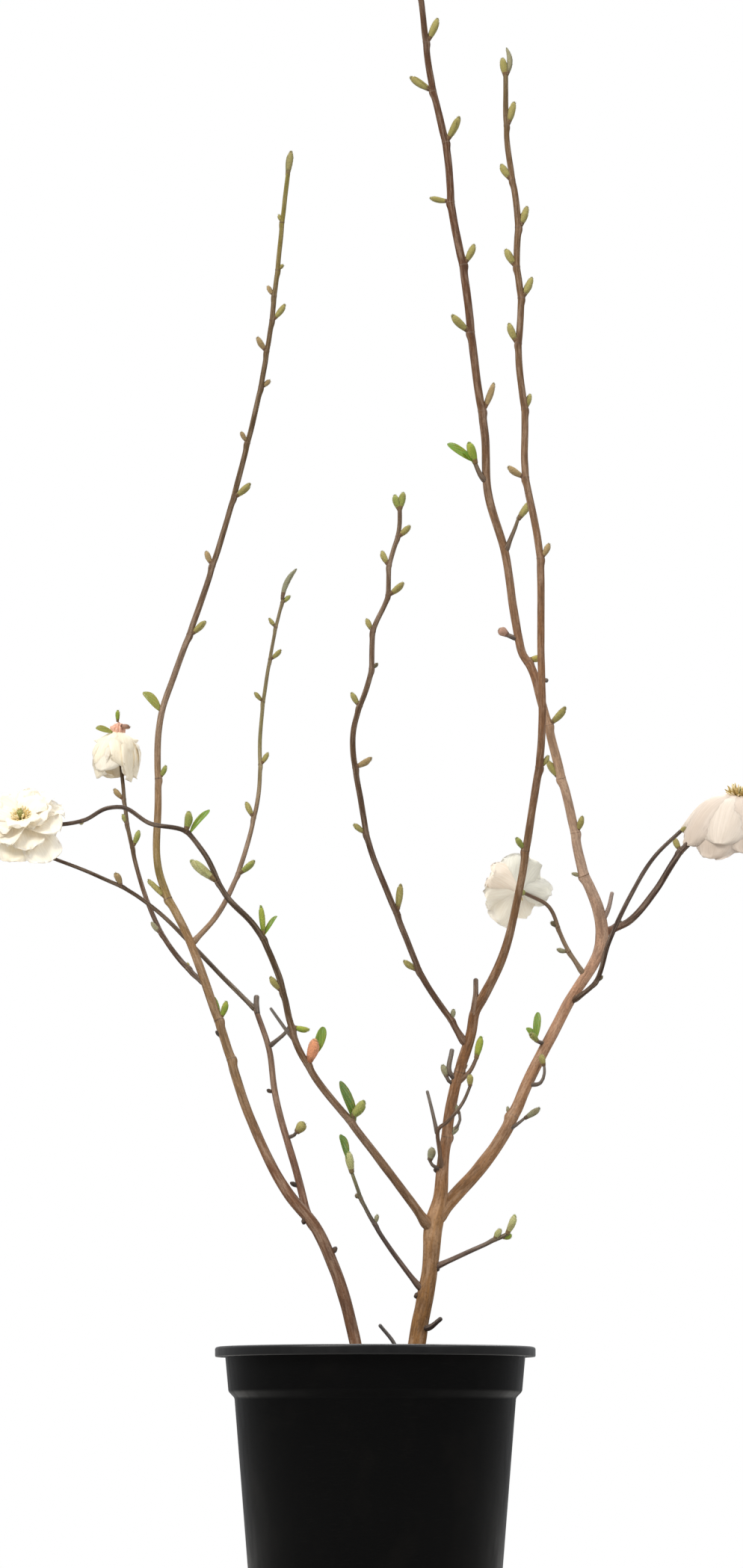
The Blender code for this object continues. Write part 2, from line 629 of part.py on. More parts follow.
def make_right_side(bark, shoot_bark, twig_bark):
    """The right stem with its boughs, shoots and flowering twigs."""
    dice = random.Random(23)
    right = right_course()
    fork = 0.160
    bough_tip = 0.342
    plant_limb("right_stem", right, 0.0, fork, bark)
    knot = right.at(0.266)
    cut = right.at(0.316)
    plant_limb("centre_right_bough", right, fork, bough_tip, bark, [
        spur([knot, knot + Vector((-0.006, -0.004, 0.006)), knot + Vector((-0.004, -0.006, 0.026))],
             0.0042, 0.0034),
        spur([cut, cut + Vector((-0.003, 0.011, 0.036))], 0.0042, 0.0040),
        close_bud(right, 0.217, RIGHT, 0.38, 0.026),
        close_bud(right, 0.276, RIGHT, 0.30, 0.034, 0.008),
        *buds_along(right, LEFT, [(0.268, 0.020)], dice),
    ])
    extras = [
        *buds_along(right, RIGHT, [(0.557, 0.010), (0.738, 0.013), (0.873, 0.013), (0.975, 0.018),
                                   (1.040, 0.017), (1.135, 0.019)], dice),
        *buds_along(right, LEFT, [(0.484, 0.015), (0.811, 0.016), (0.933, 0.017), (1.004, 0.016),
                                  (1.084, 0.015)], dice),
        end_bud(right, 0.020, 0.25, LEFT),
        end_bud(right, 0.028, 0.15, RIGHT),
    ]
    plant_limb("centre_right_shoot", right, bough_tip, None, shoot_bark, extras)

    tall = tall_course()
    knee = 0.320
    tall_bough_tip = 0.635
    hook = tall.at(0.160)
    cluster = tall.at(0.203)
    leafy = cluster + Vector((-0.011, -0.006, 0.001))
    plant_limb("right_bough", tall, 0.0, knee, bark, [
        *buds_along(tall, RIGHT, [(0.112, 0.030)], dice),
        spur([hook, hook + Vector((0.014, -0.005, 0.004)), hook + Vector((0.016, -0.006, 0.026))],
             0.0040, 0.0026),
        spur([cluster, leafy], 0.0032, 0.0036),
        young_leaf(leafy, (0.25, -0.1, 0.95), 0.026, 0.006),
        spindle(leafy, Vector((-0.50, -0.15, 0.85)).normalized(), 0.016, 0.006),
    ], [right])
    plant_limb("right_upper_bough", tall, knee, tall_bough_tip, bark, [
        *buds_along(tall, RIGHT, [(0.334, 0.026), (0.415, 0.014), (0.514, 0.024), (0.574, 0.015)], dice),
        *buds_along(tall, LEFT, [(0.465, 0.018), (0.594, 0.018)], dice),
    ])
    spur_root = tall.at(0.673)
    left_spur = tall.at(0.738)
    extras = [
        spur([spur_root, spur_root + Vector((0.010, -0.006, 0.018)),
              spur_root + Vector((0.019, -0.010, 0.044))], 0.0040, 0.0024),
        spur([left_spur, left_spur + Vector((-0.010, -0.006, 0.012)),
              left_spur + Vector((-0.014, -0.008, 0.040))], 0.0040, 0.0024),
        young_leaf(left_spur + Vector((-0.010, -0.006, 0.013)), (-0.80, -0.20, 0.70), 0.034, 0.009),
        *buds_along(tall, RIGHT, [(0.805, 0.024), (0.938, 0.018), (1.052, 0.022), (1.144, 0.022),
                                  (1.236, 0.014)], dice),
        *buds_along(tall, LEFT, [(0.876, 0.020), (0.996, 0.016), (1.100, 0.020), (1.190, 0.015)], dice),
        end_bud(tall, 0.024),
    ]
    plant_limb("right_upper_shoot", tall, tall_bough_tip, None, shoot_bark, extras)

    middle = middle_course()
    middle_tip = 0.215
    plant_limb("middle_bough", middle, 0.0, middle_tip, bark, [
        leaf_on(middle, 0.126, RIGHT, 0.40, 0.042, 0.008, -0.4),
        *buds_along(middle, RIGHT, [(0.130, 0.020)], dice),
        leaf_on(middle, 0.200, RIGHT, 1.10, 0.034, 0.009, -0.3),
    ], [right])
    extras = [
        *buds_along(middle, LEFT, [(0.259, 0.013), (0.373, 0.022)], dice),
        *buds_along(middle, RIGHT, [(0.309, 0.024), (0.425, 0.020)], dice),
        leaf_on(middle, 0.422, RIGHT, 1.20, 0.026, 0.006),
        *blossom(middle.at(middle.length), (-0.10, -0.75, 0.70), 9, 0.039, 0.028, 1.10, 0.75, dice),
    ]
    plant_limb("middle_flowering_shoot", middle, middle_tip, None, twig_bark, extras)

    centre = centre_course()
    extras = [
        *buds_along(centre, RIGHT, [(0.029, 0.008), (0.142, 0.022), (0.277, 0.016), (0.365, 0.006),
                                    (0.431, 0.015), (0.484, 0.013)], dice),
        *buds_along(centre, LEFT, [(0.084, 0.013), (0.218, 0.012), (0.331, 0.012), (0.397, 0.011),
                                   (0.457, 0.012)], dice),
        end_bud(centre, 0.016, 0.30, LEFT),
        end_bud(centre, 0.018, 0.22, RIGHT),
    ]
    plant_limb("centre_shoot", centre, 0.0, None, shoot_bark, extras, [right])

    grey = centre_flower_course(tall)
    extras = [
        *buds_along(grey, LEFT, [(0.030, 0.010)], dice),
        *blossom(grey.at(grey.length), (-0.45, 0.75, 0.35), 9, 0.037, 0.027, 1.15, 0.50, dice),
    ]
    plant_limb("centre_flowering_twig", grey, 0.0, None, twig_bark, extras, [tall])

    dark = right_flower_course()
    extras = [
        *buds_along(dark, LEFT, [(0.114, 0.011)], dice),
        *blossom(dark.at(dark.length), (0.15, -0.20, 1.0), 9, 0.062, 0.034, 1.30, 1.45, dice),
    ]
    plant_limb("right_flowering_twig", dark, 0.0, None, twig_bark, extras, [tall])

    thin = dark_twig_course()
    plant_limb("right_thin_twig", thin, 0.0, None, twig_bark, [end_bud(thin, 0.010)], [tall])

    make_low_twigs(right, shoot_bark, twig_bark, dice)


def make_low_twigs(right, shoot_bark, twig_bark, dice):
    """The short twigs and dead stubs low on the right stem and its centre right bough."""
    low_left = Limb([right.at(0.074), (0.024, -0.010, 0.308), (-0.012, -0.030, 0.364),
                     (-0.022, -0.035, 0.390)],
                    ((0.0, 0.0040), (0.13, 0.0026)), TWIG_SIDES, TWIG_RING_GAP)
    plant_limb("low_left_twig", low_left, 0.0, None, shoot_bark,
               [end_bud(low_left, 0.036, 0.28, RIGHT, 0.0085),
                *buds_along(low_left, RIGHT, [(0.080, 0.009)], dice)], [right])
    low_right = Limb([right.at(0.096), (0.076, -0.005, 0.320), (0.103, -0.010, 0.332),
                      (0.120, -0.012, 0.340)],
                     ((0.0, 0.0040), (0.08, 0.0028)), TWIG_SIDES, TWIG_RING_GAP)
    plant_limb("low_right_twig", low_right, 0.0, None, shoot_bark,
               [spindle(low_right.at(0.068), Vector((0.40, 0.0, 0.90)).normalized(), 0.021, 0.0065)],
               [right])
    side_twig = Limb([right.at(0.183), (0.056, -0.028, 0.410), (0.055, -0.036, 0.428),
                      (0.063, -0.046, 0.434), (0.077, -0.050, 0.452), (0.083, -0.053, 0.466)],
                     ((0.0, 0.0034), (0.10, 0.0026)), TWIG_SIDES, TWIG_RING_GAP)
    tip = side_twig.at(0.040)
    plant_limb("crossing_twig", side_twig, 0.0, None, twig_bark,
               [spur([tip, tip + Vector((-0.004, -0.002, 0.018)), tip + Vector((-0.009, -0.004, 0.038))],
                     0.0030, 0.0026),
                end_bud(side_twig, 0.012, 0.5, LEFT)], [right])
    plant_stub("low_stub", [right.at(0.045), (0.046, -0.006, 0.256), (0.057, -0.012, 0.264)],
               0.0042, 0.0036, twig_bark, [right])
    plant_stub("dead_twig", [(0.021, -0.020, GROUND), (0.017, -0.025, 0.241), (0.004, -0.030, 0.258)],
               0.0034, 0.0028, twig_bark, ())


def plant_stub(name, points, width, tip_width, material, carriers):
    """A dead stub, cut clear of what carries it."""
    line = smooth_line(points, TWIG_RING_GAP)
    length = sum((end - start).length for start, end in zip(line, line[1:]))
    limb = Limb(points, ((0.0, width), (length, tip_width)), TWIG_SIDES, TWIG_RING_GAP, not carriers)
    plant_limb(name, limb, 0.0, None, material, (), carriers)


for leftover in list(bpy.data.objects):
    bpy.data.objects.remove(leftover, do_unlink=True)

make_pot(finish("black_plastic", (0.012, 0.012, 0.013), 0.42))
make_compost(finish("damp_compost", (0.055, 0.035, 0.022), 0.95))
BARK = finish("old_bark", (0.26, 0.17, 0.11), 0.75)
SHOOT_BARK = finish("shoot_bark", (0.21, 0.15, 0.10), 0.65)
TWIG_BARK = finish("dark_twig_bark", (0.11, 0.085, 0.07), 0.7)
make_left_side(BARK, SHOOT_BARK, TWIG_BARK)
make_right_side(BARK, SHOOT_BARK, TWIG_BARK)
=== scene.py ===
"""Looks of a potted star magnolia in early spring: bare budded shoots and four white blossoms.

Units are metres and +Z is up. The pot stands on z = 0, and the front is -Y.
Sections follow the plant as it grows: pot, compost, stems from the left to the right, buds, blossoms.
"""

import math
import random

import bmesh
import bpy
from mathutils import Matrix, Vector, noise


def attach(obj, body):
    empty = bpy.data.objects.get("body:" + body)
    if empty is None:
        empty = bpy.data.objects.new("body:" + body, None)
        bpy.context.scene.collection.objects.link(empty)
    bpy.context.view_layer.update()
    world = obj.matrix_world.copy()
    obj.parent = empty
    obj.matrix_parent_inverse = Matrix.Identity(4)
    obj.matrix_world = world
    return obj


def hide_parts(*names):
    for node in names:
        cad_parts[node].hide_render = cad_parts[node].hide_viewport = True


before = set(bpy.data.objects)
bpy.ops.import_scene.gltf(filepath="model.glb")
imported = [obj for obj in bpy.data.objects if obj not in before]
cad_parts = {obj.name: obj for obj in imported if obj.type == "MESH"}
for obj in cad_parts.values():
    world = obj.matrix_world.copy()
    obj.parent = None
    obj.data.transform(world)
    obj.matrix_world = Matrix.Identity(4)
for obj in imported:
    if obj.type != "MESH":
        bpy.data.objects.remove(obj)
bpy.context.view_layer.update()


# Camera
# A long lens five metres away, level with the pot and tilted up a little, so that the pot's
# foot and the highest tip run out of the picture.

CAMERA_TILT = math.radians(6.63)
CAMERA_PLACE = (-0.0033, -5.024, 0.151)
LENS_LENGTH = 131.4

lens = bpy.data.cameras.new("camera")
lens.sensor_width = 36.0
lens.lens = LENS_LENGTH
camera = bpy.data.objects.new("camera", lens)
camera.location = CAMERA_PLACE
camera.rotation_euler = (math.pi / 2 + CAMERA_TILT, 0, 0)
bpy.context.scene.collection.objects.link(camera)
bpy.context.scene.camera = camera
bpy.context.scene.view_settings.view_transform = "Standard"


# Studio light
# White paper behind, and light mostly from above: a bright ceiling over a dimmer room, with a
# wide lamp high on the left, a weaker one on the right and one from behind.

CEILING_LIGHT = 1.05
FLOOR_LIGHT = 0.42

world = bpy.data.worlds.new("studio")
world.use_nodes = True
bpy.context.scene.world = world
air = world.node_tree
paper = air.nodes["Background"]
paper.inputs["Color"].default_value = (1, 1, 1, 1)
paper.inputs["Strength"].default_value = 1.0
room = air.nodes.new("ShaderNodeBackground")
room.inputs["Color"].default_value = (0.97, 0.98, 1.0, 1)
direction = air.nodes.new("ShaderNodeSeparateXYZ")
air.links.new(air.nodes.new("ShaderNodeTexCoord").outputs["Generated"], direction.inputs[0])
rise = air.nodes.new("ShaderNodeMapRange")
rise.inputs["From Min"].default_value = -0.05
rise.inputs["From Max"].default_value = 0.85
rise.inputs["To Min"].default_value = FLOOR_LIGHT
rise.inputs["To Max"].default_value = CEILING_LIGHT
air.links.new(direction.outputs["Z"], rise.inputs["Value"])
air.links.new(rise.outputs["Result"], room.inputs["Strength"])
ray = air.nodes.new("ShaderNodeLightPath")
either = air.nodes.new("ShaderNodeMixShader")
air.links.new(ray.outputs["Is Camera Ray"], either.inputs[0])
air.links.new(room.outputs[0], either.inputs[1])
air.links.new(paper.outputs[0], either.inputs[2])
air.links.new(either.outputs[0], air.nodes["World Output"].inputs["Surface"])


def lamp(name, place, aim, size, power, tint):
    """A square soft lamp that points at a spot."""
    light = bpy.data.lights.new(name, "AREA")
    light.size = size
    light.energy = power
    light.color = tint
    thing = bpy.data.objects.new(name, light)
    thing.location = place
    thing.rotation_euler = (Vector(aim) - Vector(place)).to_track_quat("-Z", "Y").to_euler()
    bpy.context.scene.collection.objects.link(thing)


lamp("key_lamp", (-2.2, -2.4, 3.2), (0, 0, 0.8), 1.3, 120, (1.0, 0.98, 0.95))
lamp("fill_lamp", (2.6, -2.6, 2.4), (0, 0, 0.8), 1.6, 36, (0.96, 0.98, 1.0))
lamp("back_lamp", (0.6, 2.4, 3.2), (0, 0, 0.8), 1.8, 60, (1.0, 1.0, 1.0))


# Floor
# A round pale mat under the pot, which the front view doesn't reach.

def paint(red, green, blue):
    """A display colour, given from 0 to 255, as the linear colour that a shader takes."""
    tones = []
    for tone in (red, green, blue):
        share = tone / 255
        tones.append(share / 12.92 if share <= 0.04045 else ((share + 0.055) / 1.055) ** 2.4)
    return (*tones, 1.0)


FLOOR_RADIUS = 0.9

mat = bmesh.new()
bmesh.ops.create_circle(mat, cap_ends=True, segments=96, radius=FLOOR_RADIUS)
floor_mesh = bpy.data.meshes.new("floor")
mat.to_mesh(floor_mesh)
mat.free()
floor = bpy.data.objects.new("floor", floor_mesh)
floor.location = (0, 0, -0.0005)
bpy.context.scene.collection.objects.link(floor)
floor_finish = bpy.data.materials.new("pale_floor")
floor_finish.use_nodes = True
floor_shader = floor_finish.node_tree.nodes["Principled BSDF"]
floor_shader.inputs["Base Color"].default_value = paint(214, 212, 208)
floor_shader.inputs["Roughness"].default_value = 0.7
floor_mesh.materials.append(floor_finish)


# Pot
# A thin nursery pot, moulded in black polypropylene: a tapered body, a wider collar that nests
# in the next pot of the stack, and a rolled rim with a skirt. Water drains through eight holes.

class Skin:
    """Faces gathered for one piece, each with a finish and a place on its surface."""

    def __init__(self):
        self.points = []
        self.faces = []
        self.finishes = []
        self.places = []

    def wrap(self, rows, across, along, finish=0, by_row=None, by_column=None):
        """Faces round a run of rings, with a place across and along for each column and row."""
        first = len(self.points)
        count = len(rows[0])
        for row in rows:
            self.points.extend(row)
        for r in range(len(rows) - 1):
            for c in range(count):
                after = (c + 1) % count
                low = first + r * count
                self.faces.append((low + c, low + after, low + count + after, low + count + c))
                self.places.append(((across[c], along[r]), (across[c + 1], along[r]),
                                    (across[c + 1], along[r + 1]), (across[c], along[r + 1])))
                chosen = by_row[r] if by_row else by_column[c] if by_column else finish
                self.finishes.append(chosen)
        for row, corners in ((0, range(count - 1, -1, -1)), (len(rows) - 1, range(count))):
            self.faces.append(tuple(first + row * count + c for c in corners))
            self.places.append(tuple((across[c], along[row]) for c in corners))
            last = min(row, len(rows) - 2)
            self.finishes.append(by_row[last] if by_row else by_column[0] if by_column else finish)

    def loose(self, points, faces, finish=0):
        """A small closed shape given by its own points and faces."""
        first = len(self.points)
        self.points.extend(points)
        for face in faces:
            self.faces.append(tuple(first + corner for corner in face))
            self.places.append(tuple((points[corner][0], points[corner][1]) for corner in face))
            self.finishes.append(finish)

    def piece(self, name, finishes, smooth=True):
        """The gathered faces as one object."""
        mesh = bpy.data.meshes.new(name)
        mesh.from_pydata([tuple(point) for point in self.points], [], self.faces)
        for finish in finishes:
            mesh.materials.append(finish)
        mesh.polygons.foreach_set("material_index", self.finishes)
        surface = mesh.uv_layers.new(name="surface")
        flat = [number for face in self.places for place in face for number in place]
        surface.data.foreach_set("uv", flat)
        built = bmesh.new()
        built.from_mesh(mesh)
        bmesh.ops.recalc_face_normals(built, faces=built.faces)
        built.to_mesh(mesh)
        built.free()
        if smooth:
            mesh.shade_smooth()
        else:
            mesh.shade_flat()
        thing = bpy.data.objects.new(name, mesh)
        bpy.context.scene.collection.objects.link(thing)
        return thing


CORNER_STEPS = 4


def eased(outline, ease):
    """An outline of (radius, height) pairs with its inner corners rounded."""
    soft = [Vector(outline[0])]
    for before, corner, after in zip(outline, outline[1:], outline[2:]):
        before, corner, after = Vector(before), Vector(corner), Vector(after)
        back = min(ease, (before - corner).length * 0.45)
        ahead = min(ease, (after - corner).length * 0.45)
        start = corner + (before - corner).normalized() * back
        end = corner + (after - corner).normalized() * ahead
        for step in range(CORNER_STEPS + 1):
            t = step / CORNER_STEPS
            soft.append(start * (1 - t) ** 2 + corner * 2 * t * (1 - t) + end * t ** 2)
    soft.append(Vector(outline[-1]))
    return soft


def turned(skin, outline, sides, by_row=None):
    """Faces of a shape of revolution whose outline starts and ends near its axis."""
    rows = []
    along = [0.0]
    for before, after in zip(outline, outline[1:]):
        along.append(along[-1] + (after - before).length)
    for radius, height in outline:
        turns = [2 * math.pi * side / sides for side in range(sides)]
        rows.append([Vector((radius * math.cos(t), radius * math.sin(t), height)) for t in turns])
    skin.wrap(rows, [side / sides for side in range(sides + 1)], along, by_row=by_row)


POT_HEIGHT = 0.240
RIM_RADIUS = 0.140
BASE_RADIUS = 0.107
POT_WALL = 0.0018
POT_FLOOR = 0.0025
RIM_DEPTH = 0.009
RIM_THICKNESS = 0.0022
COLLAR_TOP = 0.1316
COLLAR_FOOT = 0.1282
COLLAR_FOOT_HEIGHT = 0.2010
BODY_TOP = 0.1229
BODY_TOP_HEIGHT = 0.1955
AXIS_GAP = 0.0008
CORNER_EASE = 0.0016
POT_SIDES = 168
DRAIN_HOLES = 8
DRAIN_RADIUS = 0.006
DRAIN_CIRCLE = 0.088
DRAIN_SIDES = 24

mouth = COLLAR_TOP - POT_WALL
hook = RIM_RADIUS - RIM_THICKNESS
rim_foot = POT_HEIGHT - RIM_DEPTH
pot_outline = [
    (AXIS_GAP, 0), (BASE_RADIUS, 0), (BODY_TOP, BODY_TOP_HEIGHT), (COLLAR_FOOT, COLLAR_FOOT_HEIGHT),
    (COLLAR_TOP, POT_HEIGHT - POT_FLOOR), (hook, POT_HEIGHT - POT_FLOOR), (hook - 0.0002, rim_foot),
    (RIM_RADIUS, rim_foot), (RIM_RADIUS, POT_HEIGHT - 0.0010), (RIM_RADIUS - 0.0030, POT_HEIGHT),
    (mouth, POT_HEIGHT), (COLLAR_FOOT - POT_WALL, COLLAR_FOOT_HEIGHT),
    (BODY_TOP - POT_WALL, BODY_TOP_HEIGHT), (BASE_RADIUS - POT_WALL, POT_FLOOR), (AXIS_GAP, POT_FLOOR),
]
soft_outline = eased(pot_outline, CORNER_EASE)
rim_rows = [int(radius > COLLAR_TOP and height > rim_foot - 0.0005) for radius, height in soft_outline]
pot_skin = Skin()
turned(pot_skin, soft_outline, POT_SIDES, rim_rows)


def plain_material(name, colour, roughness):
    """A material with its shader set to a colour and a roughness."""
    material = bpy.data.materials.new(name)
    material.use_nodes = True
    shader = material.node_tree.nodes["Principled BSDF"]
    shader.inputs["Base Color"].default_value = colour
    shader.inputs["Roughness"].default_value = roughness
    material.diffuse_color = colour
    return material


def surface_place(tree):
    """The place on a piece's own surface, wrapped round so that its two edges meet."""
    place = tree.nodes.new("ShaderNodeTexCoord")
    apart = tree.nodes.new("ShaderNodeSeparateXYZ")
    tree.links.new(place.outputs["UV"], apart.inputs[0])
    turn = tree.nodes.new("ShaderNodeMath")
    turn.operation = "MULTIPLY"
    turn.inputs[1].default_value = 2 * math.pi
    tree.links.new(apart.outputs["X"], turn.inputs[0])
    whole = tree.nodes.new("ShaderNodeCombineXYZ")
    for operation, socket in (("COSINE", "X"), ("SINE", "Y")):
        wave = tree.nodes.new("ShaderNodeMath")
        wave.operation = operation
        tree.links.new(turn.outputs[0], wave.inputs[0])
        tree.links.new(wave.outputs[0], whole.inputs[socket])
    tree.links.new(apart.outputs["Y"], whole.inputs["Z"])
    return whole.outputs[0]


def scaled(tree, place, stretch):
    """A place stretched by three factors."""
    times = tree.nodes.new("ShaderNodeVectorMath")
    times.operation = "MULTIPLY"
    times.inputs[1].default_value = stretch
    tree.links.new(place, times.inputs[0])
    return times.outputs[0]


def speckle(tree, place, scale, low, high, detail=4.0):
    """Noise from 0 to 1 between two of its levels."""
    grain = tree.nodes.new("ShaderNodeTexNoise")
    grain.inputs["Scale"].default_value = scale
    grain.inputs["Detail"].default_value = detail
    tree.links.new(place, grain.inputs["Vector"])
    spread = tree.nodes.new("ShaderNodeMapRange")
    spread.inputs["From Min"].default_value = low
    spread.inputs["From Max"].default_value = high
    tree.links.new(grain.outputs["Fac"], spread.inputs["Value"])
    return spread.outputs["Result"]


def tinted(tree, share, first, second):
    """A mix of two colours, each a colour or an output."""
    blend = tree.nodes.new("ShaderNodeMix")
    blend.data_type = "RGBA"
    if isinstance(share, float):
        blend.inputs["Factor"].default_value = share
    else:
        tree.links.new(share, blend.inputs["Factor"])
    for socket, colour in ((blend.inputs[6], first), (blend.inputs[7], second)):
        if isinstance(colour, tuple):
            socket.default_value = colour
        else:
            tree.links.new(colour, socket)
    return blend.outputs[2]


def ranged(tree, value, low, high):
    """A value from 0 to 1 spread between two numbers."""
    spread = tree.nodes.new("ShaderNodeMapRange")
    spread.inputs["To Min"].default_value = low
    spread.inputs["To Max"].default_value = high
    tree.links.new(value, spread.inputs["Value"])
    return spread.outputs["Result"]


def bumped(tree, height, strength, depth):
    """A height as a bump that feeds the shader's normal."""
    bump = tree.nodes.new("ShaderNodeBump")
    bump.inputs["Strength"].default_value = strength
    bump.inputs["Distance"].default_value = depth
    tree.links.new(height, bump.inputs["Height"])
    tree.links.new(bump.outputs["Normal"], tree.nodes["Principled BSDF"].inputs["Normal"])


pot_plastic = plain_material("pot_plastic", paint(4, 4, 4), 0.45)
pot_tree = pot_plastic.node_tree
pot_shader = pot_tree.nodes["Principled BSDF"]
pot_shader.inputs["Specular IOR Level"].default_value = 0.05
pot_place = surface_place(pot_tree)
flow = speckle(pot_tree, scaled(pot_tree, pot_place, (1.0, 1.0, 2.0)), 14.0, 0.35, 0.7)
dust = speckle(pot_tree, scaled(pot_tree, pot_place, (1.0, 1.0, 6.0)), 3.2, 0.52, 0.82, 9.0)
scuff = speckle(pot_tree, scaled(pot_tree, pot_place, (2.0, 2.0, 260.0)), 6.0, 0.60, 0.72, 2.0)
faint = tinted(pot_tree, ranged(pot_tree, dust, 0.0, 0.30), paint(5, 5, 5), paint(24, 21, 18))
worn = tinted(pot_tree, ranged(pot_tree, scuff, 0.0, 0.10), faint, paint(36, 34, 32))
pot_tree.links.new(worn, pot_shader.inputs["Base Color"])
pot_tree.links.new(ranged(pot_tree, flow, 0.30, 0.42), pot_shader.inputs["Roughness"])
fine = speckle(pot_tree, scaled(pot_tree, pot_place, (14.0, 14.0, 110.0)), 16.0, 0.2, 0.8)
bumped(pot_tree, fine, 0.10, 0.0003)

pot_rim = pot_plastic.copy()
pot_rim.name = "pot_rim"
pot_rim.node_tree.nodes["Principled BSDF"].inputs["Specular IOR Level"].default_value = 0.32

pot = pot_skin.piece("nursery_pot", [pot_plastic, pot_rim])
drains = Skin()
for hole in range(DRAIN_HOLES):
    turn = 2 * math.pi * (hole + 0.5) / DRAIN_HOLES
    middle = Vector((math.cos(turn), math.sin(turn), 0)) * DRAIN_CIRCLE
    turns = [2 * math.pi * side / DRAIN_SIDES for side in range(DRAIN_SIDES)]
    circle = [Vector((math.cos(t), math.sin(t), 0)) * DRAIN_RADIUS + middle for t in turns]
    levels = (-POT_FLOOR, 2 * POT_FLOOR)
    drains.wrap([[point + Vector((0, 0, level)) for point in circle] for level in levels],
                [0] * (DRAIN_SIDES + 1), levels)
cutter = drains.piece("drain_cutter", [pot_plastic])
drill = pot.modifiers.new("drains", "BOOLEAN")
drill.operation = "DIFFERENCE"
drill.object = cutter
drilled = bpy.data.meshes.new_from_object(pot.evaluated_get(bpy.context.evaluated_depsgraph_get()))
pot.modifiers.remove(drill)
pot.data = drilled
bpy.data.objects.remove(cutter, do_unlink=True)
pot.data.set_sharp_from_angle(angle=math.radians(50))
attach(pot, "root")
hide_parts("pot")


# Compost
# Damp peat and composted bark, watered down a finger below the rim, with loose bark chips and
# a few white grains of perlite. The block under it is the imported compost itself.

COMPOST_LEVEL = 0.2122
COMPOST_RADIUS = 0.1262
CRUMB_RINGS = 46
CRUMB_SIDES = 150
CRUMB_BASE = 0.0009
CRUMB_HEIGHT = 0.0034
SWELL_HEIGHT = 0.0011

compost_finish = plain_material("damp_compost", paint(52, 38, 28), 0.95)
soil_tree = compost_finish.node_tree
soil_place = soil_tree.nodes.new("ShaderNodeTexCoord").outputs["Object"]
soil_patch = speckle(soil_tree, soil_place, 240.0, 0.35, 0.65, 8.0)
soil_colour = tinted(soil_tree, soil_patch, paint(34, 25, 19), paint(78, 58, 42))
soil_tree.links.new(soil_colour, soil_tree.nodes["Principled BSDF"].inputs["Base Color"])
bumped(soil_tree, speckle(soil_tree, soil_place, 600.0, 0.2, 0.8, 6.0), 0.8, 0.001)

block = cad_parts["compost"]
block.data.materials.clear()
block.data.materials.append(compost_finish)


def crumb_height(x, y):
    """How far the compost stands above its level at a spot."""
    swell = noise.noise(Vector((x * 22, y * 22, 3.0))) * SWELL_HEIGHT
    crumbs = abs(noise.noise(Vector((x * 190, y * 190, 7.0)))) * CRUMB_HEIGHT
    return COMPOST_LEVEL + CRUMB_BASE + swell + crumbs


crumbs = Skin()
rows = []
for ring in range(CRUMB_RINGS):
    reach = COMPOST_RADIUS * (1 - ring / CRUMB_RINGS)
    row = []
    for side in range(CRUMB_SIDES):
        turn = 2 * math.pi * side / CRUMB_SIDES
        x, y = reach * math.cos(turn), reach * math.sin(turn)
        row.append(Vector((x, y, crumb_height(x, y))))
    rows.append(row)
rows.insert(0, [Vector((point.x, point.y, COMPOST_LEVEL - 0.0012)) for point in rows[0]])
crumbs.wrap(rows, [side / CRUMB_SIDES for side in range(CRUMB_SIDES + 1)],
            [ring / CRUMB_RINGS for ring in range(CRUMB_RINGS + 1)])
crumb_layer = crumbs.piece("compost_crumbs", [compost_finish])
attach(crumb_layer, "root")

CHIP_COUNT = 760
PERLITE_COUNT = 80
BOX_CORNERS = [(x, y, z) for z in (-1, 1) for y in (-1, 1) for x in (-1, 1)]
BOX_FACES = ((0, 2, 3, 1), (4, 5, 7, 6), (0, 1, 5, 4), (1, 3, 7, 5), (3, 2, 6, 7), (2, 0, 4, 6))


def scatter_spot(dice):
    """A random spot on the compost."""
    reach = (COMPOST_RADIUS - 0.006) * math.sqrt(dice.random())
    turn = dice.uniform(0, 2 * math.pi)
    return reach * math.cos(turn), reach * math.sin(turn)


soil_dice = random.Random(5)
chips = Skin()
for _ in range(CHIP_COUNT):
    x, y = scatter_spot(soil_dice)
    half = Vector((soil_dice.uniform(0.0015, 0.0065), soil_dice.uniform(0.0010, 0.0028),
                   soil_dice.uniform(0.0004, 0.0011)))
    lie = Matrix.Rotation(soil_dice.uniform(0, math.pi), 3, "Z") @ \
        Matrix.Rotation(soil_dice.gauss(0, 0.32), 3, "X") @ Matrix.Rotation(soil_dice.gauss(0, 0.25), 3, "Y")
    middle = Vector((x, y, crumb_height(x, y) + half.z * 0.8))
    corners = []
    for corner in BOX_CORNERS:
        shape = Vector([edge * size * soil_dice.uniform(0.55, 1.0) for edge, size in zip(corner, half)])
        corners.append(middle + lie @ shape)
    chips.loose(corners, BOX_FACES, soil_dice.randrange(3))
chip_tones = [plain_material("bark_chip_dark", paint(48, 33, 24), 0.85),
              plain_material("bark_chip_red", paint(84, 56, 38), 0.8),
              plain_material("bark_chip_pale", paint(112, 84, 60), 0.8)]
bark_chips = chips.piece("bark_chips", chip_tones, smooth=False)
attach(bark_chips, "root")

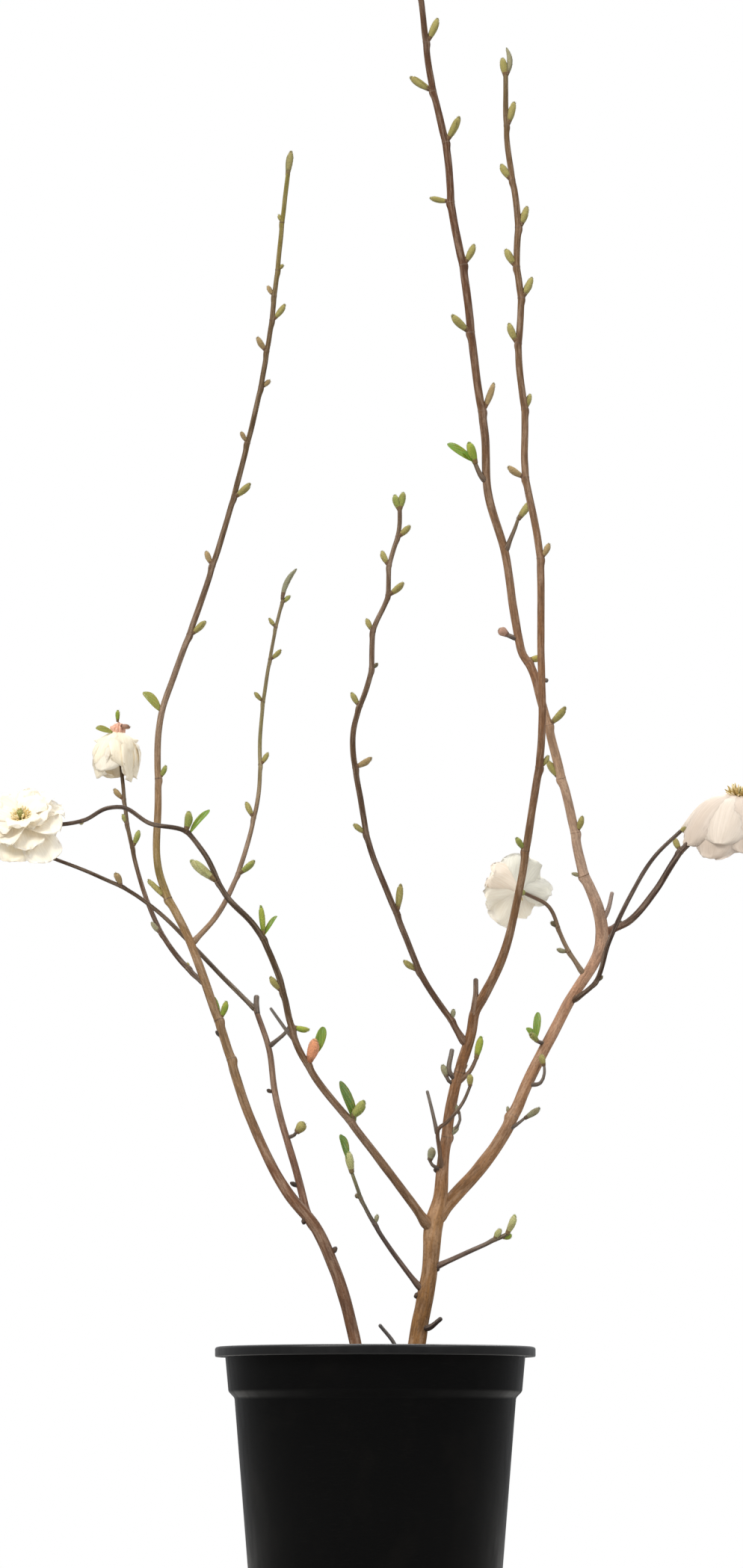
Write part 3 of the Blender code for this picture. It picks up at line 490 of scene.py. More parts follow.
perlite = Skin()
grain_ball = bmesh.new()
bmesh.ops.create_icosphere(grain_ball, subdivisions=2, radius=1.0)
ball_points = [vertex.co.copy() for vertex in grain_ball.verts]
ball_faces = [tuple(vertex.index for vertex in face.verts) for face in grain_ball.faces]
grain_ball.free()
for grain in range(PERLITE_COUNT):
    x, y = scatter_spot(soil_dice)
    size = soil_dice.uniform(0.0008, 0.0021)
    middle = Vector((x, y, crumb_height(x, y) + size * 0.5))
    seed = Vector((x * 900, y * 900, grain))
    lumps = [point * size * (0.85 + 0.5 * noise.noise(point * 1.7 + seed)) for point in ball_points]
    perlite.loose([middle + lump for lump in lumps], ball_faces)
perlite_grains = perlite.piece("perlite_grains", [plain_material("perlite", paint(225, 222, 214), 0.9)])
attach(perlite_grains, "root")


# Left stem and the long left shoot
# The left of the two stems: brown bark low down, tan to olive where the side shoots fork, brown
# again above, and olive green in last year's growth under the furry end bud.

GROUND = 0.2123
LEFT = -1
RIGHT = 1
COURSE_GAP = 0.004
HEADING_SPAN = 0.004


def smooth_line(points, gap):
    """Points about a gap apart on a smooth curve through the given ones."""
    points = [Vector(point) for point in points]
    slopes = [(points[1] - points[0]).normalized()]
    for before, here, after in zip(points, points[1:], points[2:]):
        back = here - before
        ahead = after - here
        weighed = back * (ahead.length / back.length) + ahead * (back.length / ahead.length)
        slopes.append(weighed / (back.length + ahead.length))
    slopes.append((points[-1] - points[-2]).normalized())
    line = [points[0]]
    for index, (start, end) in enumerate(zip(points, points[1:])):
        third = (end - start).length / 3
        leave = start + slopes[index] * third
        arrive = end - slopes[index + 1] * third
        steps = max(1, round((end - start).length / gap))
        for step in range(1, steps + 1):
            t = step / steps
            s = 1 - t
            line.append(s**3 * start + 3 * s * s * t * leave + 3 * s * t * t * arrive + t**3 * end)
    return line


class Limb:
    """A tapering limb: a smooth curve through a few points, and widths at places along it."""

    def __init__(self, points, widths):
        self.line = smooth_line(points, COURSE_GAP)
        self.widths = widths
        self.scars = []
        self.places = [0.0]
        for start, end in zip(self.line, self.line[1:]):
            self.places.append(self.places[-1] + (end - start).length)
        self.length = self.places[-1]

    def radius(self, place):
        """Half the width at a distance along the limb."""
        for (start, wide), (end, narrow) in zip(self.widths, self.widths[1:]):
            if place <= end:
                return (wide + (narrow - wide) * (place - start) / (end - start)) / 2
        return self.widths[-1][1] / 2

    def leg(self, place):
        """The straight leg that holds a place, and how far along that leg it lies."""
        low, high = 0, len(self.places) - 1
        while high - low > 1:
            middle = (low + high) // 2
            if self.places[middle] <= place:
                low = middle
            else:
                high = middle
        return low, (place - self.places[low]) / (self.places[high] - self.places[low])

    def at(self, place):
        """The point on the centre line at a distance along it."""
        index, share = self.leg(min(max(place, 0.0), self.length))
        return self.line[index].lerp(self.line[index + 1], share)

    def heading(self, place):
        """The limb's direction, evened over a few millimetres."""
        return (self.at(place + HEADING_SPAN) - self.at(place - HEADING_SPAN)).normalized()

    def side(self, place, side, swing=0.0):
        """The direction straight out of the limb to one side, swung to the back or front."""
        along = self.heading(place)
        out = Vector((side * math.cos(swing), math.sin(swing), 0.25))
        return (out - along * out.dot(along)).normalized()

    def lean(self, place, side, degrees, swing=0.0):
        """A direction that leans off the limb by an angle."""
        angle = math.radians(degrees)
        return self.heading(place) * math.cos(angle) + self.side(place, side, swing) * math.sin(angle)


RELIEF_STEPS = (-0.006, -0.004, -0.0026, -0.0016, -0.0008, -0.0002, 0.0004, 0.001, 0.002, 0.0035, 0.005,
                0.007)
FLARE_LENGTH = 0.010
COLLAR_LENGTH = 0.006
RIB_SHARE = 0.025
SCAR_REACH = 0.016
SCAR_BEND = 0.14
SCAR_BEND_LENGTH = 0.0065
SCAR_BEND_LIMIT = 0.0045
SCAR_RING_WIDTH = 0.0010
SCAR_RING_HEIGHT = 0.00018
SCAR_BAND = 0.0005
CUSHION_SHARE = 0.30
CUSHION_LENGTH = 0.0034
CUSHION_LIMIT = 0.0040
TIP_RINGS = ((0.82, 0.35), (0.45, 0.62))


def wrap_bark(skin, limb, sides, gap=0.002, seat=0.0, swell=0.22, knobbly=0.05, flare=0.0, finish=0,
              scar_finish=None):
    """A limb's bark: wavy rings that follow it, drawn in where it leaves its carrier and swollen at
    the collar there. At each scar the limb bends to the bud, thickens, and has a ring of scar bark.
    The two finishes count along the piece's list of materials."""
    marks = {round(index * gap, 5) for index in range(int(limb.length / gap) + 1)} | {limb.length}
    for place, _ in limb.scars:
        marks |= {round(min(max(place + step, 0.0), limb.length), 5) for step in RELIEF_STEPS}
    marks = sorted(marks)
    up = limb.heading(0.0).orthogonal()
    before = limb.heading(0.0)
    rows = []
    for place in marks:
        along = limb.heading(place)
        up.rotate(before.rotation_difference(along))
        up = (up - along * up.dot(along)).normalized()
        before = along
        across = up.cross(along)
        radius = limb.radius(place) * (1 + flare * math.exp(-place / FLARE_LENGTH))
        if seat:
            inside = min(place / seat, 1.0)
            radius *= 0.5 + 0.5 * inside * (2 - inside)
            radius *= 1 + swell * inside * math.exp(-(max(place - seat * 1.1, 0.0) / COLLAR_LENGTH) ** 2)
        close = [(mark, out) for mark, out in limb.scars if abs(mark - place) < SCAR_REACH]
        middle = limb.at(place)
        ring = 0.0
        for mark, towards in close:
            bent = math.exp(-((place - mark) / SCAR_BEND_LENGTH) ** 2)
            middle = middle + towards * SCAR_BEND * min(radius, SCAR_BEND_LIMIT) * bent
            ring += math.exp(-((place - mark - 0.0004) / SCAR_RING_WIDTH) ** 2) * SCAR_RING_HEIGHT
        row = []
        for side in range(sides):
            turn = 2 * math.pi * side / sides
            out = across * math.cos(turn) + up * math.sin(turn)
            wave = noise.noise(Vector((math.cos(turn), math.sin(turn), place * 45)) * 1.1)
            rib = noise.noise(Vector((math.cos(turn) * 4, math.sin(turn) * 4, place * 30)))
            cushion = 0.0
            for mark, towards in close:
                facing = max(out.dot(towards), 0.0)
                swollen = math.exp(-((place - mark + 0.0018) / CUSHION_LENGTH) ** 2)
                cushion += CUSHION_SHARE * min(radius, CUSHION_LIMIT) * facing * swollen
            row.append(middle + out * (radius * (1 + knobbly * wave + RIB_SHARE * rib) + ring + cushion))
        rows.append(row)
    tip = rows[-1]
    centre = sum(tip, Vector()) / sides
    nose = limb.heading(limb.length) * limb.radius(limb.length)
    for shrink, push in TIP_RINGS:
        rows.append([centre + (point - centre) * shrink + nose * push for point in tip])
        marks.append(marks[-1] + 0.0005)
    finishes = []
    for low, high in zip(marks, marks[1:]):
        halfway = (low + high) / 2
        scarred = scar_finish is not None and any(abs(halfway - mark) < SCAR_BAND for mark, _ in limb.scars)
        finishes.append(scar_finish if scarred else finish)
    skin.wrap(rows, [side / sides for side in range(sides + 1)], marks, by_row=finishes)


def shader_group(name, inputs, outputs):
    """An empty shader node group with its sockets, its input node and its output node."""
    group = bpy.data.node_groups.new(name, "ShaderNodeTree")
    for way, sockets in (("INPUT", inputs), ("OUTPUT", outputs)):
        for socket, kind in sockets:
            group.interface.new_socket(socket, in_out=way, socket_type=f"NodeSocket{kind}")
    return group, group.nodes.new("NodeGroupInput"), group.nodes.new("NodeGroupOutput")


def combined(tree, operation, first, second):
    """Two values added, multiplied or so on."""
    both = tree.nodes.new("ShaderNodeMath")
    both.operation = operation
    for socket, value in zip(both.inputs, (first, second)):
        if isinstance(value, float):
            socket.default_value = value
        else:
            tree.links.new(value, socket)
    return both.outputs[0]


def bark_grain():
    """A shader group for young bark: long streaks, dark blotches, a grey bloom, flecks and pores."""
    group, given, result = shader_group(
        "bark_grain",
        (("Bark", "Color"), ("Shade", "Color"), ("Light", "Color"), ("Streaks", "Float"), ("Flecks", "Float"),
         ("Pores", "Float")),
        (("Colour", "Color"), ("Gloss", "Float"), ("Relief", "Float")))
    place = surface_place(group)
    streak = speckle(group, scaled(group, place, (1.3, 1.3, 22.0)), 4.0, 0.40, 0.66, 6.0)
    blotch = speckle(group, scaled(group, place, (0.7, 0.7, 34.0)), 1.5, 0.47, 0.62, 5.0)
    bloom = speckle(group, scaled(group, place, (0.9, 0.9, 25.0)), 2.1, 0.44, 0.66, 6.0)
    fleck = speckle(group, scaled(group, place, (1.6, 1.6, 150.0)), 2.6, 0.50, 0.66, 3.0)
    cells = group.nodes.new("ShaderNodeTexVoronoi")
    cells.inputs["Scale"].default_value = 3.0
    group.links.new(scaled(group, place, (1.0, 1.0, 90.0)), cells.inputs["Vector"])
    dots = group.nodes.new("ShaderNodeMapRange")
    dots.inputs["From Min"].default_value = 0.20
    dots.inputs["From Max"].default_value = 0.10
    group.links.new(cells.outputs["Distance"], dots.inputs["Value"])
    pores = combined(group, "MULTIPLY", dots.outputs["Result"], given.outputs["Pores"])
    streaks = combined(group, "MULTIPLY", streak, given.outputs["Streaks"])
    flecks = combined(group, "MULTIPLY", fleck, given.outputs["Flecks"])
    colour = tinted(group, streaks, given.outputs["Bark"], given.outputs["Shade"])
    colour = tinted(group, combined(group, "MULTIPLY", blotch, 0.60), colour, given.outputs["Shade"])
    colour = tinted(group, combined(group, "MULTIPLY", bloom, 0.62), colour, given.outputs["Light"])
    colour = tinted(group, flecks, colour, given.outputs["Shade"])
    colour = tinted(group, pores, colour, given.outputs["Light"])
    group.links.new(colour, result.inputs["Colour"])
    group.links.new(ranged(group, streak, 0.50, 0.74), result.inputs["Gloss"])
    hollow = combined(group, "MULTIPLY", streak, 0.5)
    height = combined(group, "SUBTRACT", pores, hollow)
    group.links.new(combined(group, "SUBTRACT", height, combined(group, "MULTIPLY", fleck, 0.3)),
                    result.inputs["Relief"])
    return group


BARK_GRAIN = bark_grain()


def bark_material(name, length, tints, streaks=0.5, flecks=0.4, pores=0.3):
    """Bark whose colour changes along a limb: tints are (place, red, green, blue)."""
    material = plain_material(name, paint(*tints[0][1:]), 0.7)
    tree = material.node_tree
    shader = tree.nodes["Principled BSDF"]
    shader.inputs["Specular IOR Level"].default_value = 0.35
    apart = tree.nodes.new("ShaderNodeSeparateXYZ")
    tree.links.new(tree.nodes.new("ShaderNodeTexCoord").outputs["UV"], apart.inputs[0])
    share = tree.nodes.new("ShaderNodeMapRange")
    share.inputs["From Max"].default_value = length
    tree.links.new(apart.outputs["Y"], share.inputs["Value"])
    ramp = tree.nodes.new("ShaderNodeValToRGB")
    tree.links.new(share.outputs["Result"], ramp.inputs["Fac"])
    stops = ramp.color_ramp.elements
    stops.remove(stops[1])
    stops[0].position = tints[0][0] / length
    stops[0].color = paint(*tints[0][1:])
    for place, *tone in tints[1:]:
        stops.new(min(place / length, 1.0)).color = paint(*tone)
    grain = tree.nodes.new("ShaderNodeGroup")
    grain.node_tree = BARK_GRAIN
    grain.inputs["Streaks"].default_value = streaks
    grain.inputs["Flecks"].default_value = flecks
    grain.inputs["Pores"].default_value = pores
    tree.links.new(ramp.outputs["Color"], grain.inputs["Bark"])
    tree.links.new(tinted(tree, 0.60, ramp.outputs["Color"], paint(40, 22, 14)), grain.inputs["Shade"])
    tree.links.new(tinted(tree, 0.36, ramp.outputs["Color"], paint(210, 186, 162)), grain.inputs["Light"])
    tree.links.new(grain.outputs["Colour"], shader.inputs["Base Color"])
    tree.links.new(grain.outputs["Gloss"], shader.inputs["Roughness"])
    bumped(tree, grain.outputs["Relief"], 0.6, 0.0006)
    return material


scar_bark = bark_material("leaf_scar_bark", 1.3, [(0.0, 108, 82, 58), (1.3, 102, 76, 56)], 0.3, 0.5, 0.0)
bud_list = []
leaf_list = []
BUD_CURL = 0.25


def sprout(limb, places, seed, swing=0.45):
    """Buds along a limb, given as (place, side, degrees, length, width, kind), each on its scar."""
    dice = random.Random(seed)
    for place, side, degrees, length, width, kind in places:
        turned_by = dice.uniform(-swing, swing)
        out = limb.side(place, side, turned_by)
        limb.scars.append((place - 0.001, out))
        root = limb.at(place) + out * limb.radius(place) * 0.6
        heading = limb.lean(place, side, degrees + 7, turned_by)
        bud_list.append((root, heading, limb.heading(place), length + 0.001, width, kind, BUD_CURL))


def end_bud(limb, length, width, kind, side=RIGHT, degrees=4, towards=None, curl=BUD_CURL):
    """A bud on a limb's tip, which may curl towards a direction."""
    root = limb.at(limb.length - 0.002)
    ahead = Vector(towards) if towards else limb.heading(limb.length)
    bud_list.append((root, limb.lean(limb.length, side, degrees), ahead, length, width, kind, curl))


def open_leaf(limb, place, side, degrees, length, width, tone="fresh", swing=0.0, fold=0.35):
    """A young leaf off a limb, still folded along its midrib."""
    root = limb.at(place) + limb.side(place, side, swing) * limb.radius(place) * 0.5
    leaf_list.append((root, limb.lean(place, side, degrees, swing), length, width, tone, fold))


def loose_leaf(root, heading, length, width, tone="fresh", fold=0.35):
    """A young leaf at a point, in a direction."""
    leaf_list.append((Vector(root), Vector(heading), length, width, tone, fold))


def nub(limb, place, side, length, width, degrees=55):
    """A shrivelled knob or broken-off shoot."""
    root = limb.at(place) + limb.side(place, side) * limb.radius(place) * 0.6
    heading = limb.lean(place, side, degrees)
    bud_list.append((root, heading, limb.heading(place), length + 0.002, width, "dead", 0.0))


left = Limb([(-0.012, -0.020, GROUND), (-0.017, -0.018, 0.241), (-0.035, -0.012, 0.306),
             (-0.053, -0.006, 0.345), (-0.075, 0.000, 0.372), (-0.109, 0.020, 0.438),
             (-0.136, 0.040, 0.519), (-0.164, 0.060, 0.598), (-0.1945, 0.075, 0.669),
             (-0.195, 0.085, 0.724), (-0.192, 0.102, 0.815), (-0.181, 0.110, 0.849),
             (-0.157, 0.125, 0.920), (-0.128, 0.128, 1.017), (-0.0995, 0.112, 1.138),
             (-0.086, 0.100, 1.247), (-0.082, 0.097, 1.285), (-0.0795, 0.096, 1.306)],
            ((0, 0.0118), (0.022, 0.0106), (0.16, 0.0102), (0.22, 0.0085), (0.43, 0.0075), (0.60, 0.0059),
             (0.90, 0.0050), (1.17, 0.0040)))
sprout(left, [(0.352, RIGHT, 38, 0.016, 0.0060, "fresh"), (0.475, LEFT, 13, 0.024, 0.0050, "olive"),
              (0.589, RIGHT, 26, 0.012, 0.0048, "green"), (0.731, RIGHT, 23, 0.018, 0.0060, "olive"),
              (0.800, LEFT, 39, 0.013, 0.0054, "tan"), (0.866, RIGHT, 36, 0.018, 0.0064, "olive"),
              (0.917, LEFT, 44, 0.010, 0.0044, "tan"), (0.969, RIGHT, 39, 0.009, 0.0046, "tan"),
              (1.002, LEFT, 41, 0.014, 0.0056, "tan"), (1.031, RIGHT, 29, 0.017, 0.0058, "olive"),
              (1.053, LEFT, 40, 0.010, 0.0044, "tan"), (1.077, RIGHT, 34, 0.005, 0.0034, "olive"),
              (1.121, LEFT, 24, 0.006, 0.0034, "olive")], 3)
end_bud(left, 0.024, 0.0068, "long", RIGHT, 1)
open_leaf(left, 0.354, RIGHT, 5, 0.023, 0.0058)
open_leaf(left, 0.475, LEFT, 16, 0.026, 0.0052, "olive")
open_leaf(left, 0.652, LEFT, 46, 0.025, 0.0100, "olive", -0.2, 0.25)
nub(left, 0.018, RIGHT, 0.003, 0.0060)
nub(left, 0.112, RIGHT, 0.005, 0.0050)
nub(left, 0.148, LEFT, 0.003, 0.0055)
nub(left, 0.335, LEFT, 0.006, 0.0036, 20)
left.scars.append((0.313, left.side(0.313, RIGHT)))
left_skin = Skin()
wrap_bark(left_skin, left, 26, 0.0018, flare=0.10, scar_finish=1)
left_bark = left_skin.piece("left_stem_bark", [bark_material("left_bark", left.length, [
    (0.00, 126, 88, 60), (0.12, 104, 68, 40), (0.20, 112, 72, 42), (0.31, 142, 110, 72), (0.43, 146, 110, 70),
    (0.50, 136, 114, 52), (0.56, 144, 110, 70), (0.66, 138, 112, 88), (0.75, 104, 76, 50),
    (0.92, 98, 74, 40), (1.04, 102, 78, 44), (1.09, 130, 112, 48), (1.17, 140, 130, 56)]), scar_bark])
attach(left_bark, "root")
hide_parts("left_stem", "left_shoot")


# Left side shoot
# A young shoot from the node that tops the left stem, tan at its foot and olive higher up. Its
# end bud curls over to the right.

left_side = Limb([(-0.164, 0.060, 0.598), (-0.142, 0.085, 0.626), (-0.128, 0.110, 0.656),
                  (-0.114, 0.135, 0.702), (-0.106, 0.155, 0.745), (-0.105, 0.175, 0.803),
                  (-0.094, 0.190, 0.888), (-0.085, 0.200, 0.931)],
                 ((0.0, 0.0051), (0.2, 0.0038), (0.39, 0.0030)))
sprout(left_side, [(0.099, RIGHT, 33, 0.018, 0.0062, "green"), (0.161, LEFT, 37, 0.015, 0.0054, "olive"),
                   (0.217, RIGHT, 29, 0.012, 0.0048, "olive"), (0.279, LEFT, 52, 0.010, 0.0044, "olive"),
                   (0.320, RIGHT, 44, 0.012, 0.0046, "olive"), (0.352, LEFT, 48, 0.009, 0.0040, "olive"),
                   (0.377, RIGHT, 30, 0.009, 0.0044, "green")], 4)
end_bud(left_side, 0.034, 0.0056, "grey", LEFT, 8, (1.0, 0.0, 0.5), 0.62)
side_skin = Skin()
wrap_bark(side_skin, left_side, 18, 0.0020, seat=0.0040, scar_finish=1)
side_bark = side_skin.piece("left_side_shoot_bark", [bark_material("left_side_bark", left_side.length, [
    (0.00, 144, 112, 76), (0.08, 130, 102, 80), (0.17, 126, 102, 74), (0.24, 134, 124, 72),
    (0.33, 134, 118, 82), (0.38, 118, 104, 64)]), scar_bark])
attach(side_bark, "root")
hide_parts("left_side_shoot")


# Inner left bough and the outer left twig that carries it on
# A reddish brown bough low on the left stem, cut off at the top years ago. The thin twig beside
# the cut passes behind the left stem and ends under a blossom.

inner = Limb([(-0.0535, -0.004, 0.3400), (-0.0595, 0.002, 0.3560), (-0.067, 0.012, 0.385),
              (-0.089, 0.036, 0.466), (-0.094, 0.045, 0.503), (-0.106, 0.055, 0.539)],
             ((0.0, 0.0072), (0.225, 0.0047)))
outer = Limb([(-0.106, 0.055, 0.539), (-0.135, 0.078, 0.569), (-0.161, 0.095, 0.597),
              (-0.193, 0.097, 0.629), (-0.216, 0.092, 0.646), (-0.249, 0.075, 0.661),
              (-0.304, 0.045, 0.680)], ((0.0, 0.0045), (0.28, 0.0031)))
cut_top = Limb([inner.at(inner.length - 0.004), inner.at(inner.length) + Vector((0.0003, 0.0006, 0.006)),
                inner.at(inner.length) + Vector((0.0005, 0.001, 0.012))], ((0.0, 0.0050), (0.02, 0.0048)))
inner_spur = Limb([inner.at(0.178), (-0.0800, 0.035, 0.5168), (-0.0758, 0.020, 0.5222),
                   (-0.0728, -0.020, 0.5236)], ((0.0, 0.0040), (0.03, 0.0032), (0.08, 0.0022)))
bud_stalk = Limb([inner.at(0.092), inner.at(0.092) + Vector((0.007, -0.003, 0.002)),
                  inner.at(0.092) + Vector((0.010, -0.005, 0.006))], ((0.0, 0.0030), (0.02, 0.0028)))
sprout(outer, [(0.180, RIGHT, 36, 0.013, 0.0062, "tan")], 6, 0.1)
end_bud(bud_stalk, 0.012, 0.0092, "olive")
nub(inner, 0.045, LEFT, 0.006, 0.0042, 50)
nub(inner, 0.136, LEFT, 0.004, 0.0036, 60)
inner_skin = Skin()
wrap_bark(inner_skin, inner, 20, 0.0020, seat=0.0120)
wrap_bark(inner_skin, inner_spur, 12, 0.003, seat=0.002, finish=1)
wrap_bark(inner_skin, bud_stalk, 12, 0.002, seat=0.002, finish=1)
wrap_bark(inner_skin, cut_top, 16, 0.002, finish=1)
grey_twig = bark_material("grey_dead_twig", 0.05,
                          [(0.0, 84, 70, 60), (0.02, 106, 96, 86), (0.05, 130, 124, 116)], 0.6, 0.3, 0.1)
inner_bark = inner_skin.piece("inner_left_bough_bark", [bark_material("inner_bark", inner.length, [
    (0.00, 112, 74, 50), (0.08, 118, 80, 56), (0.15, 126, 96, 72), (0.21, 106, 76, 56)]), grey_twig])
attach(inner_bark, "root")
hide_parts("inner_left_bough", "inner_stub")
outer_skin = Skin()
wrap_bark(outer_skin, outer, 16, 0.0022, seat=0.0020, scar_finish=1)
outer_bark = outer_skin.piece("outer_left_twig_bark", [bark_material("outer_bark", outer.length, [
    (0.00, 78, 64, 44), (0.12, 86, 66, 44), (0.28, 72, 50, 32)]), scar_bark])
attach(outer_bark, "root")
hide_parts("outer_left_twig")


# Left flowering twig
# A thin dark twig off the left stem that rises into a hanging blossom.

left_flower = Limb([left.at(0.387), (-0.165, 0.075, 0.575), (-0.188, 0.100, 0.605),
                    (-0.204, 0.120, 0.638), (-0.215, 0.130, 0.671), (-0.225, 0.135, 0.717),
                    (-0.229, 0.140, 0.751), (-0.234, 0.140, 0.796)],
                   ((0.0, 0.0052), (0.10, 0.0044), (0.28, 0.0032)))
sprout(left_flower, [(0.037, RIGHT, 11, 0.005, 0.0034, "olive"), (0.087, LEFT, 8, 0.013, 0.0048, "grey"),
                     (0.178, RIGHT, 30, 0.015, 0.0054, "green"), (0.200, LEFT, 8, 0.008, 0.0040, "green"),
                     (0.223, LEFT, 35, 0.012, 0.0052, "tan")], 7, 0.3)
flower_top = left_flower.at(left_flower.length) + Vector((0, -0.001, 0.012))
bud_list.append((flower_top, Vector((0.0, -0.05, 1.0)), Vector((0, 0, 1)), 0.011, 0.0040, "fresh", 0.0))
loose_leaf(flower_top + Vector((-0.0045, -0.006, -0.0105)), (-0.88, -0.2, 0.36), 0.016, 0.0066, "olive", 0.3)
bud_list.append((flower_top + Vector((0.003, -0.005, -0.004)), Vector((0.9, -0.2, -0.25)),
                 Vector((0.9, 0, 0.0)), 0.009, 0.0044, "pink", 0.3))
left_flower_skin = Skin()
wrap_bark(left_flower_skin, left_flower, 16, 0.0022, seat=0.0060, scar_finish=1)
left_flower_bark = left_flower_skin.piece("left_flowering_twig_bark", [
    bark_material("left_flower_bark", left_flower.length, [
        (0.0, 70, 50, 28), (0.12, 84, 54, 30), (0.20, 94, 74, 44), (0.28, 106, 82, 58)]), scar_bark])
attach(left_flower_bark, "root")
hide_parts("left_flowering_twig")


# Right stem, centre right bough and centre right shoot
# The thickest stem: golden brown wood with long streaks, which carries the middle bough, the
# right bough and, above its last fork, a long shoot set with furry buds.

right = Limb([(0.032, 0.000, GROUND), (0.036, 0.000, 0.241), (0.049, 0.000, 0.319),
              (0.051, 0.000, 0.345), (0.057, -0.002, 0.370), (0.059, -0.012, 0.397),
              (0.072, -0.030, 0.475), (0.084, -0.038, 0.513), (0.0872, -0.042, 0.531),
              (0.0925, -0.045, 0.5400), (0.1055, -0.056, 0.5640), (0.126, -0.090, 0.639),
              (0.134, -0.103, 0.690), (0.143, -0.117, 0.753), (0.143, -0.125, 0.843),
              (0.142, -0.130, 0.921), (0.1295, -0.123, 1.001), (0.130, -0.118, 1.041),
              (0.125, -0.112, 1.095), (0.127, -0.105, 1.150), (0.124, -0.100, 1.184),
              (0.125, -0.097, 1.218), (0.1155, -0.087, 1.300), (0.115, -0.080, 1.356)],
             ((0, 0.0180), (0.022, 0.0160), (0.055, 0.0150), (0.10, 0.0140), (0.125, 0.0160), (0.14, 0.0166),
              (0.158, 0.0126), (0.20, 0.0100), (0.34, 0.0088), (0.42, 0.0068), (0.75, 0.0063), (1.05, 0.0057),
              (1.19, 0.0042)))
sprout(right, [(0.217, RIGHT, 30, 0.011, 0.0052, "grey"), (0.275, RIGHT, 20, 0.006, 0.0040, "tan"),
               (0.484, LEFT, 41, 0.012, 0.0054, "green"),
               (0.557, RIGHT, 25, 0.011, 0.0048, "olive"), (0.738, RIGHT, 32, 0.013, 0.0054, "tan"),
               (0.811, LEFT, 53, 0.016, 0.0060, "tan"), (0.873, RIGHT, 18, 0.014, 0.0052, "olive"),
               (0.933, LEFT, 24, 0.018, 0.0066, "olive"), (0.975, RIGHT, 24, 0.020, 0.0068, "olive"),
               (1.004, LEFT, 22, 0.017, 0.0066, "olive"), (1.040, RIGHT, 15, 0.019, 0.0068, "olive"),
               (1.084, LEFT, 19, 0.016, 0.0066, "olive"), (1.135, RIGHT, 14, 0.021, 0.0068, "olive")], 8)
end_bud(right, 0.018, 0.0066, "olive", LEFT, 10)
end_bud(right, 0.028, 0.0056, "grey", RIGHT, 26, (-1.0, 0.0, 0.6), 0.55)
knot = right.at(0.266)
dead_stub = Limb([knot, knot + Vector((-0.006, -0.004, 0.006)), knot + Vector((-0.004, -0.006, 0.026))],
                 ((0.0, 0.0048), (0.04, 0.0038)))
knot_bud = Limb([right.at(0.262), right.at(0.262) + Vector((-0.006, -0.003, 0.003)),
                 right.at(0.262) + Vector((-0.0085, -0.004, 0.008))], ((0.0, 0.0034), (0.02, 0.0032)))
end_bud(knot_bud, 0.012, 0.0062, "grey", RIGHT, 8)
green_spur = Limb([right.at(0.262), right.at(0.262) + Vector((0.0130, -0.006, 0.012)),
                   right.at(0.262) + Vector((0.0185, -0.008, 0.0235))], ((0.0, 0.0046), (0.03, 0.0034)))
end_bud(green_spur, 0.021, 0.0064, "fresh", LEFT, 12)
cut_stub = Limb([right.at(0.318), (0.0873, -0.0445, 0.5368), (0.0877, -0.042, 0.5580)],
                ((0.0, 0.0080), (0.018, 0.0066), (0.027, 0.0046), (0.045, 0.0042)))
hook_root = right.at(0.216)
hook_twig = Limb([hook_root, hook_root + Vector((0.008, -0.004, 0.006)),
                  hook_root + Vector((0.012, -0.006, 0.014)), hook_root + Vector((0.011, -0.006, 0.021))],
                 ((0.0, 0.0030), (0.03, 0.0024)))
end_bud(hook_twig, 0.010, 0.0048, "grey", LEFT, 20)
nub(right, 0.070, LEFT, 0.004, 0.0066, 50)
nub(right, 0.096, RIGHT, 0.003, 0.0056, 50)
nub(right, 0.182, LEFT, 0.004, 0.0048, 40)
right_skin = Skin()
wrap_bark(right_skin, right, 32, 0.0018, knobbly=0.07, flare=0.06, scar_finish=3)
wrap_bark(right_skin, dead_stub, 16, 0.002, finish=1)
wrap_bark(right_skin, knot_bud, 12, 0.002, finish=1)
wrap_bark(right_skin, cut_stub, 18, 0.002, finish=2)
wrap_bark(right_skin, hook_twig, 12, 0.002, finish=1)
wrap_bark(right_skin, green_spur, 14, 0.002, seat=0.004, finish=2)
right_bark = right_skin.piece("right_stem_bark", [
    bark_material("right_bark", right.length, [
        (0.00, 146, 103, 54), (0.08, 144, 101, 54), (0.14, 164, 121, 76), (0.20, 152, 107, 70),
        (0.32, 128, 86, 48), (0.48, 128, 94, 60), (0.56, 120, 84, 54), (0.64, 140, 96, 58),
        (0.80, 128, 94, 62), (0.92, 110, 76, 38), (1.10, 110, 78, 40), (1.19, 104, 84, 40)], 0.6, 0.5, 0.15),
    grey_twig,
    bark_material("cut_stub_bark", 0.05, [(0.0, 128, 90, 60), (0.025, 110, 84, 64), (0.05, 92, 80, 70)],
                  0.6, 0.5),
    scar_bark])
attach(right_bark, "root")
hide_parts("right_stem", "centre_right_bough", "centre_right_shoot")


# Right bough and the tallest shoot
# A pinkish tan bough that swings out to the right, turns back at a knee and carries on to the
# top of the plant, with short side twigs, furry buds and a few bright young leaves.

